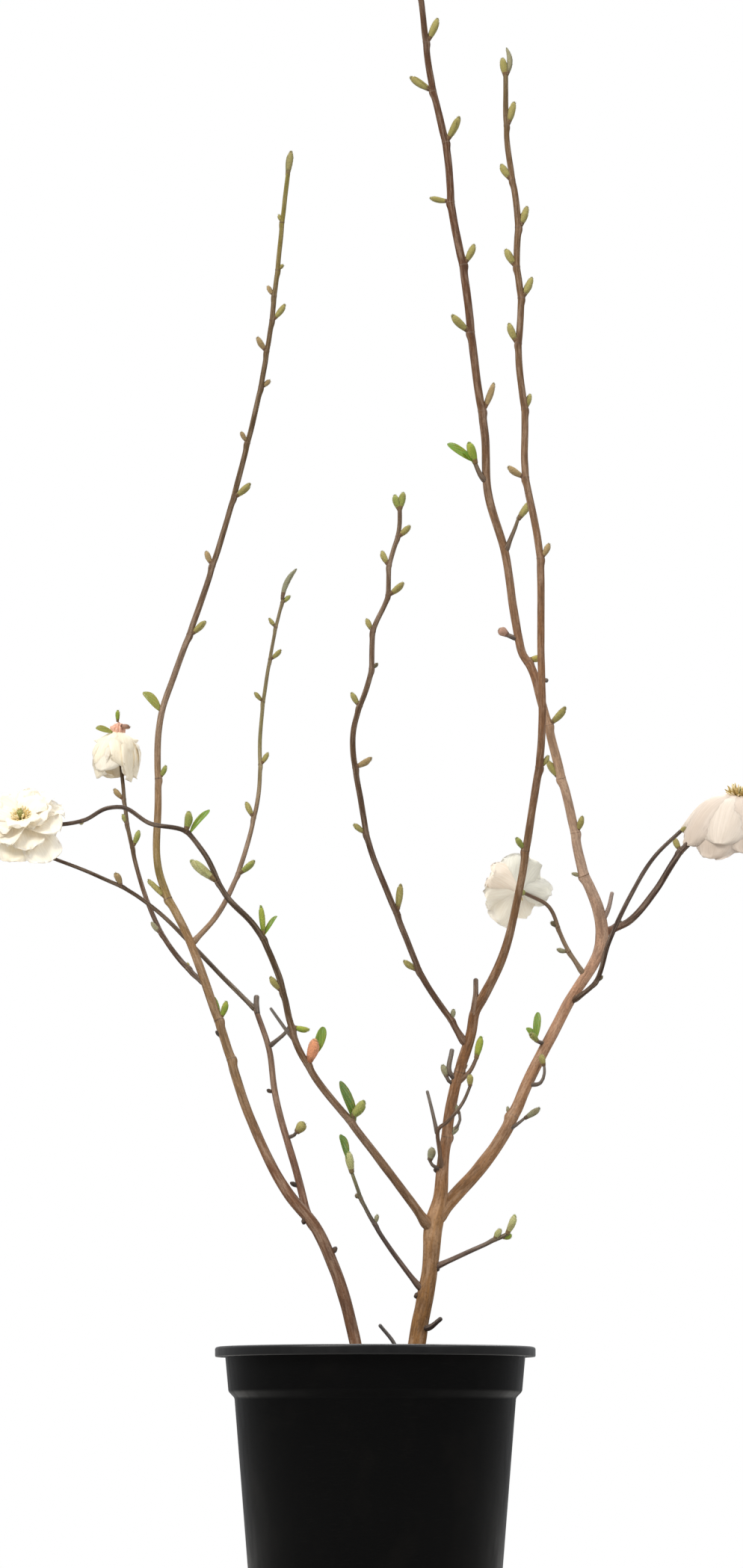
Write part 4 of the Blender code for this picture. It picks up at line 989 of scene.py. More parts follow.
tall = Limb([(0.050, 0.000, 0.345), (0.0569, 0.000, 0.3559), (0.0669, 0.006, 0.3686),
             (0.0834, 0.014, 0.3866), (0.0961, 0.022, 0.4021), (0.114, 0.030, 0.428),
             (0.138, 0.045, 0.480), (0.170, 0.060, 0.542), (0.203, 0.080, 0.611),
             (0.200, 0.077, 0.629), (0.185, 0.070, 0.668), (0.1737, 0.062, 0.721),
             (0.1595, 0.055, 0.774), (0.1480, 0.050, 0.817), (0.1404, 0.048, 0.843),
             (0.1321, 0.046, 0.8562), (0.1280, 0.044, 0.8722), (0.1235, 0.040, 0.898),
             (0.116, 0.034, 0.947), (0.101, 0.030, 1.000), (0.098, 0.028, 1.054),
             (0.092, 0.027, 1.095), (0.079, 0.025, 1.203), (0.069, 0.024, 1.258),
             (0.066, 0.024, 1.299), (0.0473, 0.021, 1.394), (0.043, 0.020, 1.435),
             (0.032, 0.020, 1.530)],
            ((0.00, 0.0128), (0.04, 0.0124), (0.08, 0.0116), (0.15, 0.0106), (0.26, 0.0097), (0.30, 0.0098),
             (0.317, 0.0120), (0.345, 0.0104), (0.40, 0.0084), (0.58, 0.0074), (0.95, 0.0071), (1.05, 0.0065),
             (1.27, 0.0046)))
sprout(tall, [(0.128, LEFT, 40, 0.007, 0.0034, "grey"), (0.376, LEFT, 60, 0.008, 0.0036, "grey"),
              (0.415, RIGHT, 29, 0.014, 0.0058, "olive"), (0.465, LEFT, 17, 0.018, 0.0070, "olive"),
              (0.514, RIGHT, 60, 0.021, 0.0066, "olive"), (0.574, RIGHT, 110, 0.014, 0.0062, "yellow"),
              (0.804, RIGHT, 28, 0.027, 0.0060, "tan"), (0.876, LEFT, 43, 0.021, 0.0070, "olive"),
              (0.938, RIGHT, 35, 0.019, 0.0066, "olive"), (0.996, LEFT, 75, 0.017, 0.0054, "olive"),
              (1.051, RIGHT, 40, 0.024, 0.0072, "olive"), (1.099, LEFT, 45, 0.022, 0.0072, "olive"),
              (1.144, RIGHT, 27, 0.023, 0.0068, "olive"), (1.190, LEFT, 38, 0.015, 0.0062, "olive"),
              (1.236, RIGHT, 34, 0.014, 0.0060, "olive")], 9)
end_bud(tall, 0.022, 0.0066, "grey")


def twig_from(limb, place, *steps, width=0.0034, tip=0.0024):
    """A short side twig that leaves a limb's centre line and goes through points given from there."""
    root = limb.at(place)
    points = [root] + [root + Vector(step) for step in steps]
    length = sum((end - start).length for start, end in zip(points, points[1:]))
    return Limb(points, ((0.0, width), (length, tip)))


fuzzy_twig = twig_from(tall, 0.112, (0.010, -0.003, 0.006), (0.018, -0.005, 0.0125), width=0.0036)
end_bud(fuzzy_twig, 0.017, 0.0059, "grey", RIGHT, 8)
hooked = twig_from(tall, 0.160, (0.012, -0.005, 0.001), (0.0155, -0.006, 0.010), (0.0150, -0.006, 0.018),
                   width=0.0038)
end_bud(hooked, 0.011, 0.0060, "olive", LEFT, 8)
leaf_stalk = twig_from(tall, 0.203, (-0.006, -0.004, 0.000), (-0.011, -0.006, 0.002), width=0.0032,
                       tip=0.0032)
end_bud(leaf_stalk, 0.015, 0.0062, "green", LEFT, -40)
loose_leaf(leaf_stalk.at(leaf_stalk.length), (0.10, -0.1, 0.99), 0.026, 0.0072)
loose_leaf(leaf_stalk.at(leaf_stalk.length), (-0.45, -0.1, 0.85), 0.014, 0.0064, "fresh", 0.5)
dead_side = twig_from(tall, 0.330, (0.006, -0.002, 0.010), (0.010, -0.004, 0.026), width=0.0044, tip=0.0036)
square_stalk = twig_from(tall, 0.594, (-0.007, -0.002, 0.003), (-0.012, -0.003, 0.005), width=0.0034,
                         tip=0.0040)
end_bud(square_stalk, 0.010, 0.0082, "pink", RIGHT, 10, None, 0.0)
yellow_stalk = twig_from(tall, 0.556, (0.006, -0.003, -0.001), (0.010, -0.004, -0.002), width=0.0034,
                         tip=0.0038)
right_spur = twig_from(tall, 0.673, (0.004, -0.004, 0.010), (0.009, -0.006, 0.022), (0.012, -0.007, 0.031),
                       width=0.0046, tip=0.0030)
end_bud(right_spur, 0.020, 0.0068, "olive", RIGHT, 18)
left_spur = twig_from(tall, 0.738, (-0.006, -0.004, 0.007), (-0.011, -0.006, 0.018), width=0.0046, tip=0.0038)
end_bud(left_spur, 0.021, 0.0078, "fresh", RIGHT, 6)
loose_leaf(left_spur.at(left_spur.length), (-0.80, -0.20, 0.62), 0.030, 0.0080)
loose_leaf(left_spur.at(left_spur.length * 0.9), (-0.55, -0.30, 0.75), 0.016, 0.0064, "fresh", 0.5)
tall_skin = Skin()
wrap_bark(tall_skin, tall, 30, 0.0018, seat=0.0110, swell=0.10, knobbly=0.07, scar_finish=3)
for twig in (fuzzy_twig, hooked, leaf_stalk, dead_side, square_stalk, yellow_stalk):
    wrap_bark(tall_skin, twig, 12, 0.002, seat=0.0045, finish=4 if twig is dead_side else 1)
for twig in (right_spur, left_spur):
    wrap_bark(tall_skin, twig, 14, 0.002, seat=0.0040, finish=2)
tall_bark = tall_skin.piece("right_bough_bark", [
    bark_material("tall_bark", tall.length, [
        (0.00, 150, 106, 58), (0.12, 154, 112, 74), (0.26, 178, 132, 100), (0.38, 186, 154, 130),
        (0.50, 174, 138, 106), (0.56, 144, 102, 70), (0.66, 140, 104, 72), (0.76, 112, 78, 46),
        (0.92, 96, 56, 20), (1.10, 88, 50, 12), (1.27, 82, 54, 20)], 0.5, 0.5, 0.3),
    grey_twig,
    bark_material("side_twig_bark", 0.05, [(0.0, 96, 74, 56), (0.03, 108, 92, 66), (0.05, 124, 116, 74)]),
    bark_material("pale_scar_bark", 1.3, [(0.0, 136, 106, 80), (0.5, 132, 102, 80), (1.3, 100, 76, 56)],
                  0.3, 0.5, 0.0),
    bark_material("pinkish_dead_twig", 0.05,
                  [(0.0, 140, 112, 96), (0.02, 164, 142, 130), (0.05, 168, 152, 142)])])
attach(tall_bark, "root")
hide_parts("right_bough", "right_upper_bough", "right_upper_shoot")


# Middle bough and the shoot with the far left blossom
# It leaves the right stem low down, crosses in front of the left stem and lies nearly flat at
# its end. Its buds are the furthest on, with several young leaves out.

middle = Limb([(0.050, 0.000, 0.340), (0.037, -0.012, 0.358), (0.008, -0.028, 0.396),
               (-0.0225, -0.042, 0.435), (-0.053, -0.055, 0.473), (-0.066, -0.062, 0.495),
               (-0.085, -0.080, 0.562), (-0.104, -0.092, 0.600), (-0.128, -0.100, 0.625),
               (-0.149, -0.105, 0.664), (-0.164, -0.108, 0.681), (-0.195, -0.110, 0.688),
               (-0.219, -0.110, 0.702), (-0.232, -0.110, 0.701), (-0.250, -0.105, 0.692),
               (-0.276, -0.100, 0.688), (-0.306, -0.105, 0.692)],
              ((0.0, 0.0088), (0.03, 0.0078), (0.13, 0.0066), (0.21, 0.0059), (0.35, 0.0051), (0.46, 0.0038),
               (0.58, 0.0034)))
sprout(middle, [(0.129, RIGHT, 80, 0.019, 0.0092, "green"), (0.191, RIGHT, 46, 0.021, 0.0106, "salmon"),
                (0.226, RIGHT, 118, 0.014, 0.0056, "fresh"), (0.259, LEFT, 21, 0.015, 0.0060, "olive"),
                (0.309, RIGHT, 20, 0.027, 0.0054, "fresh"), (0.373, LEFT, 24, 0.028, 0.0090, "pale"),
                (0.424, RIGHT, 68, 0.016, 0.0074, "green"), (0.522, RIGHT, 60, 0.007, 0.0038, "olive")],
       10, 0.2)
open_leaf(middle, 0.122, RIGHT, 27, 0.040, 0.0106, "dark", -0.1, 0.30)
loose_leaf(middle.at(0.194) + Vector((0.0085, 0.0005, 0.0050)), (0.36, -0.15, 0.92), 0.026, 0.0096)
open_leaf(middle, 0.309, RIGHT, 52, 0.022, 0.0056, "fresh", -0.1, 0.5)
open_leaf(middle, 0.420, RIGHT, 82, 0.027, 0.0064, "fresh", -0.1, 0.5)
grey_spur = twig_from(middle, 0.195, (-0.003, -0.001, 0.0075), (-0.0165, -0.003, 0.0265),
                      (-0.0290, -0.005, 0.0440), width=0.0042, tip=0.0026)
middle_skin = Skin()
wrap_bark(middle_skin, middle, 22, 0.0020, seat=0.0110, knobbly=0.06, scar_finish=2)
wrap_bark(middle_skin, grey_spur, 12, 0.003, seat=0.003, finish=1)
middle_bark = middle_skin.piece("middle_bough_bark", [
    bark_material("middle_bark", middle.length, [
        (0.00, 154, 112, 68), (0.03, 128, 94, 62), (0.12, 126, 96, 70), (0.20, 110, 78, 48),
        (0.26, 86, 64, 36), (0.33, 68, 48, 22), (0.44, 64, 46, 28), (0.50, 72, 54, 40),
        (0.58, 60, 36, 18)]), grey_twig, scar_bark])
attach(middle_bark, "root")
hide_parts("middle_bough", "middle_flowering_shoot")


# Centre shoot
# The shoot nearest the front, dark brown, in a long slow bend from the centre right bough, with
# two end buds in a fork.

centre = Limb([(0.080, -0.035, 0.500), (0.064, -0.045, 0.525), (0.043, -0.062, 0.555),
               (0.025, -0.085, 0.595), (0.011, -0.100, 0.628), (-0.005, -0.115, 0.668),
               (-0.012, -0.128, 0.703), (-0.019, -0.148, 0.762), (-0.004, -0.158, 0.813),
               (-0.001, -0.160, 0.851), (0.010, -0.160, 0.877), (0.012, -0.158, 0.904),
               (0.021, -0.152, 0.944), (0.021, -0.150, 0.957)],
              ((0.0, 0.0060), (0.03, 0.0054), (0.22, 0.0052), (0.52, 0.0038)))
sprout(centre, [(0.029, RIGHT, 42, 0.008, 0.0044, "grey"), (0.084, LEFT, 33, 0.014, 0.0056, "olive"),
                (0.142, RIGHT, 26, 0.024, 0.0064, "olive"), (0.218, LEFT, 37, 0.012, 0.0050, "olive"),
                (0.277, RIGHT, 66, 0.016, 0.0056, "tan"), (0.331, LEFT, 50, 0.012, 0.0052, "olive"),
                (0.365, RIGHT, 38, 0.005, 0.0034, "dark"), (0.397, LEFT, 38, 0.011, 0.0048, "olive"),
                (0.431, RIGHT, 39, 0.016, 0.0060, "olive"), (0.457, LEFT, 32, 0.013, 0.0056, "olive"),
                (0.484, RIGHT, 30, 0.013, 0.0056, "olive")], 12)
end_bud(centre, 0.015, 0.0062, "green", LEFT, 20)
end_bud(centre, 0.017, 0.0064, "green", RIGHT, 14)
centre_skin = Skin()
wrap_bark(centre_skin, centre, 20, 0.0020, seat=0.0065, scar_finish=1)
centre_bark = centre_skin.piece("centre_shoot_bark", [bark_material("centre_bark", centre.length, [
    (0.00, 100, 62, 34), (0.05, 98, 68, 44), (0.20, 86, 60, 40), (0.30, 98, 72, 46), (0.40, 106, 80, 56),
    (0.52, 108, 84, 58)]), scar_bark])
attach(centre_bark, "root")
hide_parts("centre_shoot")


# Flowering twigs and the thin twig at the knee of the right bough
# A grey twig holds the blossom behind the centre right shoot, a dark one the blossom at the far
# right, and a thin third twig crosses in front of the knee.

grey = Limb([tall.at(0.275), (0.169, 0.064, 0.599), (0.153, 0.055, 0.633), (0.140, 0.045, 0.639),
             (0.129, 0.035, 0.643)], ((0.0, 0.0044), (0.10, 0.0031)))
dark = Limb([(0.203, 0.080, 0.609), (0.227, 0.090, 0.621), (0.252, 0.100, 0.650),
             (0.274, 0.110, 0.684), (0.303, 0.118, 0.714), (0.3287, 0.120, 0.7373)],
            ((0.0, 0.0066), (0.19, 0.0050)))
thin = Limb([(0.175, 0.060, 0.546), (0.196, 0.045, 0.564), (0.207, 0.040, 0.597),
             (0.227, 0.050, 0.640), (0.251, 0.070, 0.679), (0.274, 0.084, 0.702)],
            ((0.0, 0.0045), (0.22, 0.0034)))
sprout(grey, [(0.028, LEFT, 48, 0.009, 0.0044, "grey"), (0.052, LEFT, 30, 0.006, 0.0048, "dark")], 13, 0.2)
sprout(dark, [(0.019, LEFT, 24, 0.004, 0.0034, "dark"), (0.114, LEFT, 64, 0.012, 0.0058, "olive")], 14, 0.2)
sprout(thin, [(0.032, RIGHT, 8, 0.006, 0.0034, "dark")], 15, 0.2)
end_bud(thin, 0.009, 0.0038, "olive")
TWIG_TINTS = {"grey": [(0.00, 140, 118, 90), (0.05, 134, 110, 84), (0.10, 106, 76, 56)],
              "dark": [(0.00, 114, 70, 40), (0.03, 76, 46, 24), (0.10, 56, 30, 10), (0.19, 54, 28, 10)],
              "thin": [(0.00, 64, 40, 14), (0.10, 56, 32, 12), (0.22, 54, 36, 20)]}
for twig_name, twig, node_name in (("grey", grey, "centre_flowering_twig"),
                                   ("dark", dark, "right_flowering_twig"),
                                   ("thin", thin, "right_thin_twig")):
    twig_skin = Skin()
    wrap_bark(twig_skin, twig, 16, 0.0022, seat=0.0060, scar_finish=1)
    twig_bark = twig_skin.piece(node_name + "_bark", [
        bark_material(twig_name + "_twig_bark", twig.length, TWIG_TINTS[twig_name]), scar_bark])
    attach(twig_bark, "root")
    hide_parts(node_name)


# Low twigs and dead stubs
# Short thin twigs near the foot of the right stem, most of them with buds, and broken black or
# grey stubs that were never pruned away.

low_left = Limb([right.at(0.074), (0.0255, -0.010, 0.308), (-0.0105, -0.030, 0.364),
                 (-0.0209, -0.035, 0.3915)], ((0.0, 0.0050), (0.13, 0.0030)))
low_right = Limb([right.at(0.096), (0.076, -0.005, 0.320), (0.103, -0.010, 0.332), (0.1165, -0.012, 0.3385)],
                 ((0.0, 0.0050), (0.08, 0.0034)))
crossing = Limb([right.at(0.183), (0.056, -0.028, 0.410), (0.055, -0.036, 0.428), (0.063, -0.046, 0.434),
                 (0.077, -0.050, 0.452), (0.083, -0.053, 0.466)], ((0.0, 0.0040), (0.10, 0.0028)))
dead_fork = twig_from(crossing, 0.040, (-0.004, -0.002, 0.018), (-0.009, -0.004, 0.038), width=0.0034,
                      tip=0.0028)
hooked_bud = twig_from(crossing, 0.004, (-0.008, -0.004, 0.003), (-0.0115, -0.005, 0.009), width=0.0034)
black_stub = Limb([right.at(0.045), (0.046, -0.006, 0.256), (0.057, -0.012, 0.264)],
                  ((0.0, 0.0050), (0.03, 0.0038)))
soil_twig = Limb([(0.021, -0.020, GROUND - 0.001), (0.017, -0.025, 0.241), (0.004, -0.030, 0.258)],
                 ((0.0, 0.0040), (0.05, 0.0032)))
end_bud(low_left, 0.020, 0.0074, "pale", RIGHT, 11)
loose_leaf((-0.0243, -0.039, 0.4020), (-0.16, -0.05, 1.0), 0.023, 0.0078, "dark")
sprout(low_left, [(0.080, RIGHT, 45, 0.007, 0.0040, "grey"), (0.106, LEFT, 30, 0.004, 0.0038, "dark")],
       16, 0.2)
sprout(low_right, [(0.064, LEFT, 30, 0.009, 0.0056, "pale"), (0.070, RIGHT, 40, 0.009, 0.0058, "fresh")],
       17, 0.5)
end_bud(low_right, 0.019, 0.0064, "pale", LEFT, 34, (0.1, 0.0, 1.0), 0.5)
end_bud(crossing, 0.011, 0.0056, "olive", LEFT, 24)
end_bud(hooked_bud, 0.012, 0.0074, "grey", RIGHT, 46)
LOW_TINTS = {"low_left_twig": [(0.00, 108, 82, 68), (0.08, 88, 76, 70), (0.11, 100, 96, 68),
                               (0.13, 110, 110, 64)],
             "low_right_twig": [(0.00, 104, 80, 68), (0.05, 96, 80, 70), (0.08, 108, 98, 72)],
             "crossing_twig": [(0.00, 112, 82, 56), (0.04, 104, 76, 54), (0.10, 84, 70, 54)],
             "low_stub": [(0.00, 66, 50, 44), (0.03, 44, 38, 38)],
             "dead_twig": [(0.00, 84, 78, 74), (0.05, 104, 102, 100)]}
for node_name, twigs, seat in (("low_left_twig", [low_left], 0.0100), ("low_right_twig", [low_right], 0.0080),
                               ("crossing_twig", [crossing, dead_fork, hooked_bud], 0.0040),
                               ("low_stub", [black_stub], 0.0090), ("dead_twig", [soil_twig], 0.0)):
    twig_skin = Skin()
    for index, twig in enumerate(twigs):
        wrap_bark(twig_skin, twig, 14, 0.002, seat=0.002 if index else seat, finish=min(index, 1),
                  scar_finish=2)
    twig_bark = twig_skin.piece(node_name + "_bark", [
        bark_material(node_name + "_tints", twigs[0].length, LOW_TINTS[node_name]), grey_twig, scar_bark])
    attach(twig_bark, "root")
    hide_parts(node_name)


# Buds
# Each bud sits on a leaf scar: a downy paddle of two scales, the outer one lapping the inner one,
# with silky hairs that lie forwards along it. Its tone is given with it, along its limb.

BUD_TONES = {
    "fresh": ((118, 92, 48), (156, 166, 58), (132, 152, 44), (121, 143, 44)),
    "green": ((110, 88, 52), (154, 156, 80), (134, 142, 62), (121, 131, 60)),
    "olive": ((106, 78, 46), (160, 150, 84), (150, 140, 74), (136, 128, 71)),
    "tan": ((110, 78, 52), (170, 144, 98), (156, 132, 88), (144, 123, 83)),
    "grey": ((96, 76, 56), (150, 146, 112), (138, 136, 106), (126, 126, 100)),
    "dark": ((72, 56, 44), (100, 88, 62), (88, 80, 56), (83, 76, 55)),
    "pale": ((118, 98, 58), (182, 180, 124), (172, 172, 112), (155, 161, 97)),
    "long": ((118, 106, 60), (150, 140, 86), (130, 126, 76), (122, 119, 73)),
    "pink": ((120, 84, 66), (180, 140, 120), (168, 128, 108), (157, 121, 102)),
    "yellow": ((124, 92, 48), (172, 158, 78), (158, 146, 66), (148, 137, 63)),
    "salmon": ((160, 98, 62), (218, 146, 104), (226, 158, 112), (216, 153, 104)),
    "dead": ((74, 54, 44), (64, 48, 40), (56, 46, 38), (53, 44, 37)),
}
BUD_PARTS = ("foot", "body", "scale", "tip")
BUD_RINGS = ((0.0, 0.50), (0.05, 0.60), (0.12, 0.64), (0.20, 0.70), (0.32, 0.84), (0.46, 0.96), (0.60, 1.0),
             (0.73, 0.94), (0.84, 0.78), (0.92, 0.56), (0.975, 0.30), (1.0, 0.08))
FOOT_RING = 3
TIP_RING = 9
SCALE_STEPS = 7
SCALE_REACH = 0.88
SCALE_LAP = 0.00025
BUD_SIDES = 12
BUD_FLATNESS = 0.88
HAIR_WIDTH = 0.00016
HAIR_LENGTH = 0.0016
HAIRS_EACH = 36
HAIRS_PER_METRE = 3600


def downy_flecks():
    """A shader group for a downy skin: a colour with fine darker flecks between its hairs."""
    group, given, result = shader_group("downy_flecks", (("Tone", "Color"),),
                                        (("Colour", "Color"), ("Relief", "Float")))
    place = group.nodes.new("ShaderNodeTexCoord").outputs["Object"]
    fleck = speckle(group, place, 900.0, 0.36, 0.66, 3.0)
    blush = speckle(group, place, 130.0, 0.48, 0.70, 2.0)
    flecked = tinted(group, combined(group, "MULTIPLY", fleck, 0.24), given.outputs["Tone"],
                     paint(60, 48, 24))
    group.links.new(tinted(group, combined(group, "MULTIPLY", blush, 0.30), flecked, paint(120, 86, 48)),
                    result.inputs["Colour"])
    group.links.new(fleck, result.inputs["Relief"])
    return group


DOWNY_FLECKS = downy_flecks()


def grouped(name, group, tones, roughness, strength, depth):
    """A material whose colour and relief come from a shader group. Tones are (socket, colour) pairs."""
    finish = plain_material(name, tones[0][1], roughness)
    tree = finish.node_tree
    pattern = tree.nodes.new("ShaderNodeGroup")
    pattern.node_tree = group
    for socket, tone in tones:
        pattern.inputs[socket].default_value = tone
    tree.links.new(pattern.outputs["Colour"], tree.nodes["Principled BSDF"].inputs["Base Color"])
    bumped(tree, pattern.outputs["Relief"], strength, depth)
    return finish


bud_tones = list(BUD_TONES)
bud_finishes = []
for bud_tone, part_tones in BUD_TONES.items():
    for part, tone in zip(BUD_PARTS, part_tones):
        finish = grouped(f"bud_{bud_tone}_{part}", DOWNY_FLECKS, [("Tone", paint(*tone))], 0.8, 0.5, 0.0003)
        finish.node_tree.nodes["Principled BSDF"].inputs["Sheen Weight"].default_value = 0.15
        bud_finishes.append(finish)


def bend(root, heading, along, length, shares, curl):
    """Points of a short line that starts in one direction and curls towards another."""
    line = [root]
    for before, after in zip(shares, shares[1:]):
        step = heading.lerp(along, curl * (before + after) / 2).normalized()
        line.append(line[-1] + step * length * (after - before))
    return line


def bud_body(skin, line, along, width, tone, dice):
    """A bud's rings, with an outer scale that laps part of them. Returns its surface points."""
    up = along.orthogonal().normalized()
    across = up.cross(along).normalized()
    lapped = dice.uniform(0, 2 * math.pi)
    rows = []
    scale_rows = []
    for (share, wide), middle in zip(BUD_RINGS, line):
        radius = width / 2 * wide
        row = []
        for side in range(BUD_SIDES):
            turn = 2 * math.pi * side / BUD_SIDES
            out = across * math.cos(turn) + up * math.sin(turn) * BUD_FLATNESS
            row.append(middle + out * radius * (1 + 0.05 * math.sin(turn * 2 + lapped)))
        rows.append(row)
        half = 1.5 * math.sqrt(max(1 - (share / SCALE_REACH) ** 2.4, 0.0)) + 0.05
        if share <= SCALE_REACH:
            turns = [lapped + half * (2 * step / (SCALE_STEPS - 1) - 1) for step in range(SCALE_STEPS)]
            outs = [across * math.cos(turn) + up * math.sin(turn) * BUD_FLATNESS for turn in turns]
            scale_rows.append([middle + out * (radius * 1.06 + SCALE_LAP) for out in outs]
                              + [middle + out * radius * 0.9 for out in reversed(outs)])
    first = bud_tones.index(tone) * len(BUD_PARTS)
    shares = [share for share, _ in BUD_RINGS]
    spread = [side / BUD_SIDES for side in range(BUD_SIDES + 1)]
    skin.wrap(rows[:FOOT_RING + 1], spread, shares[:FOOT_RING + 1], first)
    skin.wrap(rows[FOOT_RING:TIP_RING + 1], spread, shares[FOOT_RING:TIP_RING + 1], first + 1)
    skin.wrap(rows[TIP_RING:], spread, shares[TIP_RING:], first + 3)
    lapping = [first] * FOOT_RING + [first + 2] * (len(scale_rows) - FOOT_RING)
    skin.wrap(scale_rows, [step / (2 * SCALE_STEPS) for step in range(2 * SCALE_STEPS + 1)], shares,
              by_row=lapping)
    return rows


def hairs(skin, rows, line, count, length, dice):
    """Silky hairs that lie forwards along a bud."""
    for _ in range(count):
        ring = dice.randrange(2, len(rows) - 1)
        side = dice.randrange(BUD_SIDES)
        share = dice.random()
        root = rows[ring][side].lerp(rows[ring - 1][side], share)
        middle = line[ring].lerp(line[ring - 1], share)
        out = (root - middle).normalized()
        along = (line[ring] - line[ring - 1]).normalized()
        stray = Vector([dice.uniform(-0.22, 0.22) for _ in range(3)])
        slope = (along + out * dice.uniform(0.22, 0.6) + stray).normalized()
        tip = root + slope * length * dice.uniform(0.6, 1.1)
        side_way = slope.cross(out).normalized() * HAIR_WIDTH / 2
        back = slope.cross(side_way).normalized() * HAIR_WIDTH / 2
        base = root - slope * 0.0002
        skin.loose([base + side_way + back, base - side_way + back, base - back, tip],
                   ((0, 1, 3), (1, 2, 3), (2, 0, 3), (0, 2, 1)))


bud_dice = random.Random(31)
bud_skin = Skin()
hair_skin = Skin()
for root, heading, along, length, width, tone, curl in bud_list:
    bud_line = bend(root, heading, along, length, [share for share, _ in BUD_RINGS], curl)
    bud_rows = bud_body(bud_skin, bud_line, heading, width, tone, bud_dice)
    if tone != "dead":
        hair_count = int(HAIRS_EACH + length * HAIRS_PER_METRE)
        hairs(hair_skin, bud_rows, bud_line, hair_count, HAIR_LENGTH, bud_dice)
downy_buds = bud_skin.piece("downy_buds", bud_finishes)
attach(downy_buds, "root")
silk = plain_material("bud_silk", paint(176, 170, 138), 0.6)
silk_hairs = hair_skin.piece("bud_hairs", [silk])
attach(silk_hairs, "root")


# Young leaves
# The first leaves push out of the buds in spring, still folded along the midrib. Their faces are
# glossy green, olive or dark, and their backs are paler.

LEAF_OUTLINE = ((0.0, 0.22), (0.08, 0.42), (0.2, 0.70), (0.35, 0.90), (0.5, 1.0), (0.65, 1.0),
                (0.78, 0.90), (0.88, 0.70), (0.95, 0.46), (0.99, 0.22), (1.0, 0.08))
LEAF_THICKNESS = 0.0004
LEAF_STEPS = 8
LEAF_TONES = {"fresh": ((92, 128, 24), (128, 148, 56)), "olive": ((118, 124, 40), (142, 142, 74)),
              "dark": ((66, 104, 26), (104, 130, 56))}
leaf_tones = list(LEAF_TONES)


def leaf_veins():
    """A shader group for a leaf: paler slanting veins that stand up a little."""
    group, given, result = shader_group("leaf_veins", (("Tone", "Color"),),
                                        (("Colour", "Color"), ("Relief", "Float")))
    vein = group.nodes.new("ShaderNodeTexWave")
    vein.bands_direction = "DIAGONAL"
    vein.inputs["Scale"].default_value = 2.6
    vein.inputs["Distortion"].default_value = 1.2
    group.links.new(group.nodes.new("ShaderNodeTexCoord").outputs["UV"], vein.inputs["Vector"])
    stripe = ranged(group, vein.outputs["Fac"], 0.0, 0.10)
    group.links.new(tinted(group, stripe, given.outputs["Tone"], paint(214, 220, 130)),
                    result.inputs["Colour"])
    group.links.new(vein.outputs["Fac"], result.inputs["Relief"])
    return group


LEAF_VEINS = leaf_veins()
leaf_finishes = []
for leaf_tone, (face_tone, back_tone) in LEAF_TONES.items():
    for part, tone, roughness in (("face", face_tone, 0.42), ("back", back_tone, 0.6)):
        finish = grouped(f"leaf_{leaf_tone}_{part}", LEAF_VEINS, [("Tone", paint(*tone))], roughness,
                         0.35, 0.0003)
        finish.node_tree.nodes["Principled BSDF"].inputs["Subsurface Weight"].default_value = 0.12
        finish.node_tree.nodes["Principled BSDF"].inputs["Subsurface Scale"].default_value = 0.003
        leaf_finishes.append(finish)


def sheet(skin, line, rises, sides, halves, cup, wave, thickness, face, back, steps):
    """A thin leaf or petal: rows across a line, bent up or down at the edges, with two faces."""
    rows = []
    for index, middle in enumerate(line):
        half = halves[index]
        share = index / (len(line) - 1)
        narrowing = min(abs(cup(share, 1.0)), 1.2)
        top = []
        under = []
        for step in range(steps + 1):
            t = 2 * step / steps - 1
            lift = cup(share, t) * half + wave(share, t)
            spot = middle + sides[index] * half * t * math.cos(narrowing * abs(t)) + rises[index] * lift
            thick = rises[index] * thickness / 2 * (1 - 0.8 * t * t)
            top.append(spot + thick)
            under.append(spot - thick)
        rows.append(top + under[::-1])
    count = 2 * (steps + 1)
    across = [min(c, count - c) / (steps + 1) for c in range(count + 1)]
    parts = [face] * steps + [back] * (steps + 2)
    skin.wrap(rows, across, [index / (len(line) - 1) for index in range(len(line))], by_column=parts)


def folded_leaf(skin, root, heading, length, width, tone, fold, dice):
    """A young leaf with its sides folded up from the midrib and its tip bent back a little."""
    heading = heading.normalized()
    shares = [share for share, _ in LEAF_OUTLINE]
    facing = Vector((dice.uniform(-0.5, 0.5), -0.8, 0.35))
    rise = (facing - heading * facing.dot(heading)).normalized()
    line = [root]
    rises = []
    for before, after in zip(shares, shares[1:] + [1.0]):
        bow = (before + after) / 2 * 0.5
        step = (heading * math.cos(bow) - rise * math.sin(bow)).normalized()
        rises.append((rise * math.cos(bow) + heading * math.sin(bow)).normalized())
        if after > before:
            line.append(line[-1] + step * length * (after - before))
    sides = [heading.cross(each).normalized() for each in rises]
    halves = [width / 2 * wide for _, wide in LEAF_OUTLINE]
    phase = dice.uniform(0, 6)
    first = leaf_tones.index(tone) * 2
    sheet(skin, line, rises, sides, halves, lambda share, t: fold * abs(t) ** 1.2 * (1.1 - 0.5 * share),
          lambda share, t: 0.0004 * math.sin(9 * share + phase) * t * t, LEAF_THICKNESS, first, first + 1,
          LEAF_STEPS)


leaf_dice = random.Random(37)
leaf_skin = Skin()
for root, heading, length, width, tone, fold in leaf_list:
    folded_leaf(leaf_skin, root, heading, length, width, tone, fold, leaf_dice)
young_leaves = leaf_skin.piece("young_leaves", leaf_finishes)
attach(young_leaves, "root")
